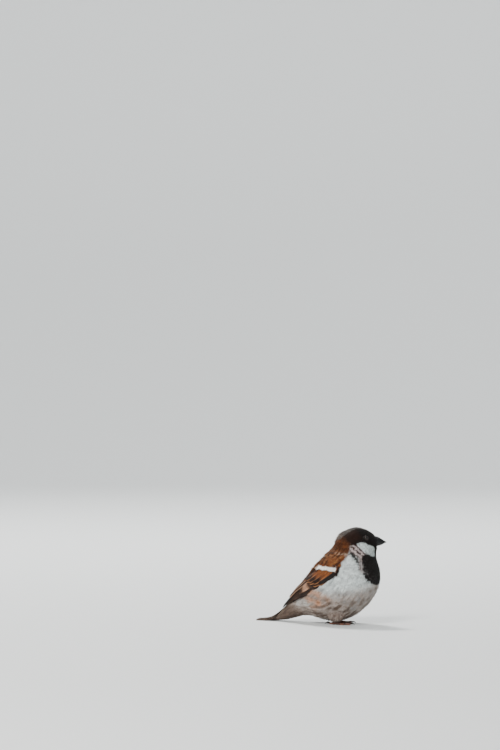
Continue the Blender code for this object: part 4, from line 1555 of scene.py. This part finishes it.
def make_eyeball(side, axes, mirror, wet):
    polar, turn = np.meshgrid(
        np.linspace(0, np.pi, 60), np.linspace(0, 2 * np.pi, 64, endpoint=False), indexing="ij"
    )
    degrees = np.degrees(polar)
    bulge = CORNEA_BULGE * (1 - ease(degrees, 18, 46)) - 0.05
    ball = round_the_eye(axes, polar, turn, EYE_RADIUS + bulge)
    rays = 1 + 0.25 * np.sin(turn * 23) * np.sin(turn * 9 + 1)
    iris = ease(degrees, 27, 29) * (1 - ease(degrees, 42, 50))
    tint = np.clip(mixed(PUPIL_BLACK, np.array(IRIS_BROWN), iris) * rays[..., None], 0, 1)
    eyeball = mesh_piece(
        f"eyeball_{side}", ball.reshape(-1, 3), grid_faces(*polar.shape, True)[:, ::mirror], wet,
        "eye", tint.reshape(-1, 3), welded=True,
    )
    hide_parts(f"eye_{side}")


def make_lids(side, axes, mirror, bare):
    """Both lids as one closed ring, open to an almond, with beads along the wet rim."""
    turn = np.linspace(0, 2 * np.pi, 96, endpoint=False)
    out, radius = LID_SECTION[:, :1], LID_SECTION[:, 1:]
    almond = 48.0 + 4.0 * np.abs(np.cos(turn)) ** 4 - 1.5 * np.sin(turn) ** 2
    polar = np.radians(out + almond[None, :])
    beads = 0.03 * np.sin(turn * 32) * np.exp(-(((out - 3) / 3) ** 2))
    ring = round_the_eye(axes, polar, turn[None, :] + 0 * polar, radius + beads)
    faces = grid_faces(len(out), len(turn), True)
    last = grid_faces(2, len(turn), True)
    last_row = last + (len(out) - 1) * len(turn)
    closing = np.where(last >= len(turn), last - len(turn), last_row)
    shade = mixed(LID_GREY, LID_EDGE_GREY, ease(out[:, 0], 8, 24))
    mesh_piece(
        f"lids_{side}", ring.reshape(-1, 3), np.concatenate([faces, closing])[:, ::mirror], bare,
        "crown_and_nape", np.repeat(shade, len(turn), axis=0), welded=True,
    )


def make_eyes():
    wet, bare = eye_material(), lid_material()
    for side in SIDES:
        axes = eye_axes(side_angle(side, EYE_ELEVATION))
        mirror = int(np.sign(np.cross(axes[2], axes[3]) @ axes[1]))
        make_eyeball(side, axes, mirror, wet)
        make_lids(side, axes, mirror, bare)


make_eyes()

# ---------------------------------------- Face feathers
# The shortest feathers of the bird: a ring of tiny ones outside each eye's lids, and two rows
# round the bill's root, which lie forwards over the horn.

EYE_RINGS = ((2.02, 30), (2.3, 34), (2.7, 36))  # radius, feathers
RING_LEAN = 0.55  # how far the rings' feathers lean to the rear
TUFT_ROWS = ((0.42, 2.1), (0.2, 1.9))  # station, feather length


def make_eye_ring(side, soft):
    """Three rings of feathers round one eye, which lie away from it."""
    angle = side_angle(side, EYE_ELEVATION)
    _, _, back, up = eye_axes(angle)
    turn = np.concatenate([
        np.linspace(0, 2 * np.pi, count, endpoint=False) + 0.1 * count for _, count in EYE_RINGS
    ])
    radius = np.concatenate([np.full(count, r) for r, count in EYE_RINGS])
    here, _ = spot_on_body(EYE_STATION, angle)
    per_station = (spot_on_body(EYE_STATION + 0.02, angle)[0] - here) / 0.02
    per_degree = (spot_on_body(EYE_STATION, angle + 0.2)[0] - here) / 0.2
    spoke = np.cos(turn)[:, None] * back + np.sin(turn)[:, None] * up
    along, round_it = spoke @ unit(per_station), spoke @ unit(per_degree)
    roots = (
        EYE_STATION + radius * along / np.linalg.norm(per_station),
        angle + radius * round_it / np.linalg.norm(per_degree),
    )
    length = np.full(len(turn), 1.35)
    feather_coat(
        f"eye_ring_feathers_{side}", on_body, roots, body_look, soft, "crown_and_nape",
        length=length, width=length * 0.55, root_height=length * -0.28, tip_height=length * 0.03,
        barbs=5, ragged=0.8, lie=6.0, heading=np.degrees(np.arctan2(round_it, along + RING_LEAN)),
        seed=95,
    )


def make_nasal_tufts(soft):
    """Two rows all round the bill's root."""
    turn = np.arange(-84, 266, 7.5)
    for row, (station, long) in enumerate(TUFT_ROWS):
        length = np.full(len(turn), long)
        feather_coat(
            f"bill_root_feathers_{row}", on_body,
            (np.full(len(turn), station), turn + 3.5 * row), body_look, soft, "crown_and_nape",
            length=length, width=length * 0.5, root_height=length * -0.25,
            tip_height=length * -0.12, barbs=6, ragged=0.9, lie=9.0, heading=180.0, seed=97 + row,
        )


face_stuff = coat_material("face feathers")
for side in SIDES:
    make_eye_ring(side, face_stuff)
make_nasal_tufts(face_stuff)

# ---------------------------------------- Legs and feet
# Short thigh feathers come down to the foot, so that little of the leg shows. The toes are scaly
# skin with plates across the top and pads below, spread on the floor, each with a black claw.

TOE_JOINT_HEIGHT = 1.55
HEEL_OFFSET = (-4.6, 0.6, 6.8)
TARSUS_RADIUS = 1.15
PADS_PER_TOE, PAD_SWELL = 2, 0.09
# angle from straight ahead (outwards is positive), length, radius, claw length, plates
TOES = {
    "inner": (-25, 9.0, 0.95, 4.2, 8), "middle": (-2, 13.5, 1.0, 5.0, 12),
    "outer": (22, 9.5, 0.95, 4.2, 9), "hind": (177, 7.5, 1.05, 6.0, 7),
}
TOE_SINK = 0.12
CLAW_GAP, CLAW_RISE = 0.1, 0.15
PLATE_LAP = 1.28
SCALE_BROWN = (0.235, 0.095, 0.060)
PLATE_BROWN = (0.190, 0.085, 0.060)
CLAW_BLACK = (0.012, 0.011, 0.011)
CLAW_ROOT = 0.2  # radius of the toe that a claw of unit length fits


def scale_material(name, roughness):
    """Scaly leg skin: the mesh's own tint with small cells and darker lines between them."""
    material, tree, shader = new_material(
        name, {"Subsurface Weight": 0.08, "Subsurface Scale": 0.0006}
    )
    place = own_place(tree)
    cells = new_node(
        tree, "ShaderNodeTexVoronoi", {"Vector": place, "Scale": 2600.0},
        feature="DISTANCE_TO_EDGE",
    )
    inside = ranged(tree, cells.outputs["Distance"], 0.0, 1.0, last=0.12)
    cell_shade = worked_out(tree, "MULTIPLY_ADD", inside, 0.35, 0.65)
    spot_shade = ranged(tree, noise(tree, place, 900.0), 0.65, 1.4)
    shade = worked_out(tree, "MULTIPLY", cell_shade, spot_shade)
    set_surface(
        tree, shader, shade, inside, (roughness + 0.15, roughness - 0.05), (0.5, 0.00012)
    )
    return material


def swept(centres, wide, tall, segments, floor=None):
    """Rings of a closed tube along points, wide across and tall upwards, drawn in at its ends."""
    along = unit(np.gradient(centres, axis=0))
    across = unit(np.cross((0.0, 0.0, 1.0), along))
    lift = np.cross(along, across)
    turn = np.linspace(0, 2 * np.pi, segments, endpoint=False)[None, :, None]
    rings = centres[:, None] + wide[:, None, None] * across[:, None] * np.cos(turn)
    rings = rings + tall[:, None, None] * lift[:, None] * np.sin(turn)
    if floor is not None:
        rings[..., 2] = np.maximum(rings[..., 2], floor)
    for end in (0, -1):
        rings[end] = rings[end].mean(axis=0)
    return rings


def round_ends(t, first, last):
    """Radius shares along a tube whose ends are rounded over these shares of its length."""
    start = np.clip(1 - t / first, 0, 1) if first else 0 * t
    end = np.clip((t - 1 + last) / last, 0, 1) if last else 0 * t
    return np.sqrt(np.maximum(1 - start**2, 0)) * np.sqrt(np.maximum(1 - end**2, 0))


def toe_line(side, toe, count):
    """Centre line of a toe from its joint outwards, its direction, and shares along it."""
    degrees, length, radius = TOES[toe][:3]
    heading = np.radians(degrees * OUTWARD[side])
    direction = np.array([np.cos(heading), np.sin(heading), 0.0])
    t = np.linspace(0, 1, count)
    rest = radius - TOE_SINK
    centres = FEET[side] + direction * (t * length)[:, None]
    centres[:, 2] = rest + (TOE_JOINT_HEIGHT - rest) * (1 - t) ** 3
    return centres, direction, t


def set_along_tree():
    """Sets a copy of a small shape at each point, aimed, lifted and sized by its attributes."""
    tree = bpy.data.node_groups.new("set along", "GeometryNodeTree")
    given_sockets = {
        "Points": "Geometry", "Shape": "Object", "Finish": "Material", "Size": "Float",
        "Sway": "Float", "Seed": "Int",
    }
    for label, kind in given_sockets.items():
        tree.interface.new_socket(label, in_out="INPUT", socket_type=f"NodeSocket{kind}")
    tree.interface.new_socket("Set", in_out="OUTPUT", socket_type="NodeSocketGeometry")
    given = new_node(tree, "NodeGroupInput", {}).outputs

    def out(label, kind, sockets, **settings):
        return new_node(tree, kind, sockets, **settings).outputs[label]

    def stored(name):
        return out(
            "Attribute", "GeometryNodeInputNamedAttribute", {"Name": name},
            data_type="FLOAT_VECTOR",
        )

    def aligned(sockets, **axes):
        return out("Rotation", "FunctionNodeAlignRotationToVector", sockets, **axes)

    def vectors(operation, sockets):
        return out("Vector", "ShaderNodeVectorMath", sockets, operation=operation)

    aim = aligned({"Vector": stored("aim")}, axis="X")
    lift = aligned({"Rotation": aim, "Vector": stored("lift")}, axis="Z", pivot_axis="X")
    chance = out(
        "Value", "FunctionNodeRandomValue", {"Seed": given["Seed"]}, data_type="FLOAT_VECTOR"
    )
    either_way = vectors("MULTIPLY_ADD", {0: chance, 1: (2, 2, 2), 2: (-1, -1, -1)})
    swing = vectors("SCALE", {0: either_way, "Scale": given["Sway"]})
    turn = out("Rotation", "FunctionNodeEulerToRotation", {"Euler": swing})
    facing = out(
        "Rotation", "FunctionNodeRotateRotation", {"Rotation": lift, "Rotate By": turn},
        rotation_space="LOCAL",
    )
    size = vectors("SCALE", {0: stored("size"), "Scale": given["Size"]})
    shape = out("Geometry", "GeometryNodeObjectInfo", {"Object": given["Shape"]})
    copies = out("Instances", "GeometryNodeInstanceOnPoints", {
        "Points": given["Points"], "Instance": shape, "Rotation": facing, "Scale": size,
    })
    real = out("Geometry", "GeometryNodeRealizeInstances", {"Geometry": copies})
    finished = out(
        "Geometry", "GeometryNodeSetMaterial", {"Geometry": real, "Material": given["Finish"]}
    )
    new_node(tree, "NodeGroupOutput", {"Set": finished})
    return tree


SET_ALONG = set_along_tree()


def set_along(name, rows, tints, shape, material, sway=0.0, seed=0):
    """One piece of many copies of a shape, given as its points and faces.

    Each row is a copy's place, its aim, its upward side and its size along all three, in mm.
    """
    places, aims, lifts, sizes = (np.array(column, float) for column in zip(*rows))
    unit_mesh = bpy.data.meshes.new(f"one of {name}")
    unit_mesh.from_pydata(shape[0].tolist(), [], shape[1].tolist())
    pattern = bpy.data.objects.new(f"one of {name}", unit_mesh)
    holder = bpy.data.meshes.new(f"places of {name}")
    holder.from_pydata(((places + SHIFT) * MM).tolist(), [], [])
    for label, values in {"aim": aims, "lift": lifts, "size": sizes * MM, "tint": tints}.items():
        layer = holder.attributes.new(label, "FLOAT_VECTOR", "POINT")
        layer.data.foreach_set("vector", np.asarray(values, np.float32).ravel())
    carrier = bpy.data.objects.new(f"places of {name}", holder)
    bpy.context.scene.collection.objects.link(carrier)
    step = carrier.modifiers.new("set along", "NODES")
    step.node_group = SET_ALONG
    values = {"Shape": pattern, "Finish": material, "Size": 1.0, "Sway": sway, "Seed": seed}
    for item in SET_ALONG.interface.items_tree:
        if item.name in values:
            step[item.identifier] = values[item.name]
    graph = bpy.context.evaluated_depsgraph_get()
    mesh = bpy.data.meshes.new_from_object(carrier.evaluated_get(graph))
    for spare in (carrier, pattern):
        bpy.data.objects.remove(spare)
    weld(mesh, FLOOR_GAP)
    mesh.shade_smooth()
    return shown(name, mesh)


def plate_shape():
    """A horny plate bent over the top of a toe, its far edge a little raised. One unit long."""
    x = np.array([-0.5, -0.3, 0.38, 0.5])[:, None]
    bend = np.radians(np.linspace(-80, 80, 8))[None, :]
    radius = 0.99 + 0.10 * ease(x, -0.4, 0.38) - 0.03 * ease(x, 0.38, 0.5)
    top = np.stack(np.broadcast_arrays(x, radius * np.sin(bend), radius * np.cos(bend)), -1)
    under = top * (1, 0.9, 0.9)
    points = np.concatenate([top.reshape(-1, 3), under.reshape(-1, 3)])
    return points, shell_faces(4, 8)[:, ::-1]


def claw_shape():
    """A hooked claw, one unit long along its bend, that tapers from its root to the point."""
    t = np.linspace(0, 1, 15)
    bend, rise = np.radians(95), np.radians(40)
    x = (np.sin(rise) - np.sin(rise - bend * t)) / bend
    z = (np.cos(rise - bend * t) - np.cos(rise)) / bend
    centres = np.stack([x, 0 * t, z], -1)
    radius = CLAW_ROOT * (0.66 * (1 - t) ** 0.85 + 0.07) * round_ends(t, 0.08, 0.0)
    rings = swept(centres, radius * 0.85, radius * 1.1, 12)
    return rings.reshape(-1, 3), grid_faces(15, 12, True)


def plates_over(centres, radii, count, first, last):
    """Rows for copies of a plate along a line, each lapping over the next."""
    along = unit(np.gradient(centres, axis=0))
    shares = np.linspace(0, 1, len(centres))
    length = np.linalg.norm(centres[-1] - centres[0]) * (last - first) / (count - 1)
    rows = []
    for share in np.linspace(first, last, count):
        spot, way = (
            np.array([np.interp(share, shares, line[:, k]) for k in range(3)])
            for line in (centres, along)
        )
        across = unit(np.cross((0.0, 0.0, 1.0), way))
        radius = np.interp(share, shares, radii)
        rows.append((spot, way, np.cross(way, across), (length * PLATE_LAP, radius, radius)))
    return rows


def make_scaly_foot(side, skin, plate):
    """Four toes with pads and the shank, and horny plates over their tops."""
    tubes, rows = [], []
    for toe, (_, _, radius, _, plates) in TOES.items():
        centres, _, t = toe_line(side, toe, 56)
        pads = 1 + PAD_SWELL * np.cos(2 * np.pi * PADS_PER_TOE * t)
        radii = radius * (1.10 - 0.24 * t) * pads
        girth = radii * round_ends(t, 0.06, 0.09)
        tubes.append(swept(centres, girth, girth, 20, 0.0))
        rows += plates_over(centres, radii * 0.99, plates, 0.10, 0.93)
    joint = FEET[side] + (0, 0, TOE_JOINT_HEIGHT)
    heel = FEET[side] + np.array(HEEL_OFFSET) * (1, OUTWARD[side], 1)
    t = np.linspace(0, 1, 24)
    shank = joint + (heel - joint) * t[:, None]
    radii = TARSUS_RADIUS * (1.0 + 0.12 * (1 - t) ** 4)
    girth = radii * round_ends(t, 0.12, 0.06)
    tubes.append(swept(shank, girth, girth, 20, 0.0))
    rows += plates_over(shank[::-1], radii, 6, 0.1, 0.92)
    points, faces = joined(tubes)
    foot = mesh_piece(
        f"scaly_foot_{side}", points, faces, skin, "leg_scales",
        np.broadcast_to(SCALE_BROWN, points.shape), welded=True,
    )
    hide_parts(f"foot_{side}")
    rng = np.random.default_rng(5)
    tints = np.array(PLATE_BROWN) * rng.uniform(0.75, 1.2, (len(rows), 1))
    set_along(
        f"toe_plates_{side}", rows, tints, plate_shape(), plate, sway=0.03, seed=3
    )


def make_claws(side, horn):
    rows = []
    for toe, (_, _, radius, claw, _) in TOES.items():
        centres, direction, _ = toe_line(side, toe, 2)
        root = centres[-1] - direction * CLAW_GAP + (0, 0, CLAW_RISE)
        rows.append((root, direction, (0, 0, 1), (claw, radius / CLAW_ROOT, claw)))
    claws = set_along(
        f"horn_claws_{side}", rows, [CLAW_BLACK] * len(rows), claw_shape(), horn
    )
    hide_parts(*(f"claw_{toe}_{side}" for toe in TOES))


def make_thigh_feathers(side, soft):
    """Loose feathers down to the foot, which slant backwards on both sides."""
    on_thigh = read_from(thigh_grid(side), 0, 1)
    down, turn = np.meshgrid(np.linspace(0.36, 0.94, 15), np.arange(0, 360, 9), indexing="ij")
    down, turn = down.ravel(), turn.ravel()
    rng = np.random.default_rng(7)
    roots = (down + rng.normal(0, 0.012, len(down)), turn + rng.normal(0, 3, len(turn)))
    length = 7.5 - 3.6 * down

    def look(station, angle, rng):
        count = len(station)
        # The belly's grey darkened with the smudge brown: partly the thighs' own colour, partly
        # painted shade under the body
        web = mixed(BELLY_GREY, SMUDGE_AND_SHADE_BROWN, 0.35 + 0.5 * rng.uniform(0, 1, count))
        return {
            "root": web * 0.5, "web": web,
            "streak": web * 0.5, "streak_share": rng.uniform(0, 0.6, count),
            "fringe": web * 1.1, "fringe_share": np.full(count, 0.4),
        }

    feather_coat(
        f"thigh_feathers_{side}", on_thigh, roots, look, soft, "belly_feathers", length=length,
        width=length * 0.5, root_height=length * -0.2, tip_height=length * 0.06, barbs=9,
        ragged=1.6, lie=14.0, heading=38 * np.sin(np.radians(roots[1])),
        corner=lambda s, a: thigh_unwrap(s, a / 360), seed=30,
    )


def make_feet():
    skin, plate = scale_material("toe skin", 0.5), scale_material("leg plates", 0.42)
    horn = horn_material("claw horn", 0.3, 1500.0)
    soft = coat_material("thigh feathers")
    for side in SIDES:
        make_scaly_foot(side, skin, plate)
        make_claws(side, horn)
        make_thigh_feathers(side, soft)


make_feet()

# ---------------------------------------- Bristles
# Stiff black hairs round the gape, each a quill without barbs. They are rooted among the
# feathers at the bill's root and point forwards and outwards.

BRISTLE_BLACK = (0.010, 0.009, 0.009)
BRISTLES_A_SIDE, BRISTLE_STATION, BRISTLE_LENGTH = 9, 0.75, 3.1


def bristle_shape():
    """A thin hair, one unit long, that bends up a little towards its tip."""
    t = np.linspace(0, 1, 6)
    centres = np.stack([t, 0 * t, 0.16 * t**2], -1)
    radius = 0.028 * (1 - t) ** 0.7 + 0.003
    return swept(centres, radius, radius, 6).reshape(-1, 3), grid_faces(6, 6, True)


def make_bristles():
    rows = []
    for side in SIDES:
        for k, elevation in enumerate(np.linspace(-42, 46, BRISTLES_A_SIDE)):
            station, angle = BRISTLE_STATION + 0.18 * (k % 2), side_angle(side, elevation)
            here, outward = spot_on_body(station, angle)
            ahead, _ = spot_on_body(station - 0.1, angle)
            aim = unit(unit(ahead - here) + 0.45 * outward)
            length = BRISTLE_LENGTH - 0.25 * (k % 3)
            rows.append((here - outward * 0.5, aim, outward, (length,) * 3))
    set_along(
        "gape_bristles", rows, [BRISTLE_BLACK] * len(rows), bristle_shape(),
        horn_material("bristles", 0.45), sway=0.12, seed=11,
    )


make_bristles()

# ---------------------------------------- Stage, light and camera
# A plain pale floor that curves up into a wall, with three broad lamps and an even pale sky.
# The camera has a long lens, stands two and a half metres off and looks level.

FLAT_REACH, WALL_ROUND, WALL_TOP = 3.2, 1.2, 3.0  # in metres
FLOOR_PAINT = (0.70, 0.72, 0.72, 1)
BIRD_MIDDLE = (0, 0, 0.05)  # in metres


def make_stage():
    profile = [(r, 0.0) for r in (0.0, 0.1, 0.4, 1.2, FLAT_REACH)]
    for t in np.linspace(0.1, np.pi / 2, 14):
        profile.append((FLAT_REACH + WALL_ROUND * np.sin(t), WALL_ROUND - WALL_ROUND * np.cos(t)))
    profile.append((FLAT_REACH + WALL_ROUND, WALL_TOP))
    turn = np.linspace(0, 2 * np.pi, 96, endpoint=False)
    rings = np.array([[(r * np.cos(t), r * np.sin(t), z) for t in turn] for r, z in profile])
    faces = grid_faces(len(profile), len(turn), True)
    mesh = bpy.data.meshes.new("floor")
    mesh.from_pydata(rings.reshape(-1, 3).tolist(), [], faces.tolist())
    weld(mesh)
    mesh.shade_smooth()
    paint, _, _ = new_material("pale floor", {"Base Color": FLOOR_PAINT, "Roughness": 0.6})
    mesh.materials.append(paint)
    floor = bpy.data.objects.new("floor", mesh)
    bpy.context.scene.collection.objects.link(floor)


def soft_light(name, place, target, size, power, colour=(1, 1, 1)):
    """A square lamp that faces its target; size in metres, power in watts."""
    lamp = bpy.data.lights.new(name, "AREA")
    lamp.size, lamp.energy, lamp.color = size, power, colour
    stand = bpy.data.objects.new(name, lamp)
    stand.location = place
    aim = Vector(target) - Vector(place)
    stand.rotation_euler = aim.to_track_quat("-Z", "Y").to_euler()
    bpy.context.scene.collection.objects.link(stand)


# The view is on the bird's right side, turned 30 degrees towards its front
VIEW_AZIMUTH = np.radians(30.0)
CAMERA_BACK, CAMERA_ASIDE, CAMERA_HEIGHT = 2587.5, 87.4, 229.1
LENS, SENSOR = 135.0, 36.0


def make_camera():
    lens = bpy.data.cameras.new("camera")
    lens.lens, lens.sensor_width, lens.clip_end = LENS, SENSOR, 100
    camera = bpy.data.objects.new("camera", lens)
    right = np.array([np.cos(VIEW_AZIMUTH), np.sin(VIEW_AZIMUTH), 0])
    ahead = np.array([-np.sin(VIEW_AZIMUTH), np.cos(VIEW_AZIMUTH), 0])
    place = np.array([0, 0, CAMERA_HEIGHT]) - right * CAMERA_ASIDE - ahead * CAMERA_BACK
    camera.location = (place + SHIFT) * MM
    camera.rotation_euler = Vector(ahead).to_track_quat("-Z", "Y").to_euler()
    bpy.context.scene.collection.objects.link(camera)
    bpy.context.scene.camera = camera


make_stage()
soft_light("key", (0.1, -1.9, 1.7), BIRD_MIDDLE, 0.9, 62, (1.0, 0.985, 0.96))
soft_light("top", (-1.2, 0.9, 2.2), BIRD_MIDDLE, 0.5, 78, (1.0, 0.99, 0.97))
soft_light("backdrop", (-0.4, 1.0, 3.0), (-2.0, 3.6, 1.4), 2.0, 120)
world = bpy.data.worlds.new("studio")
world.use_nodes = True
open_air = world.node_tree.nodes["Background"].inputs
open_air["Color"].default_value = (0.90, 0.93, 0.95, 1)
open_air["Strength"].default_value = 0.4
bpy.context.scene.world = world
make_camera()
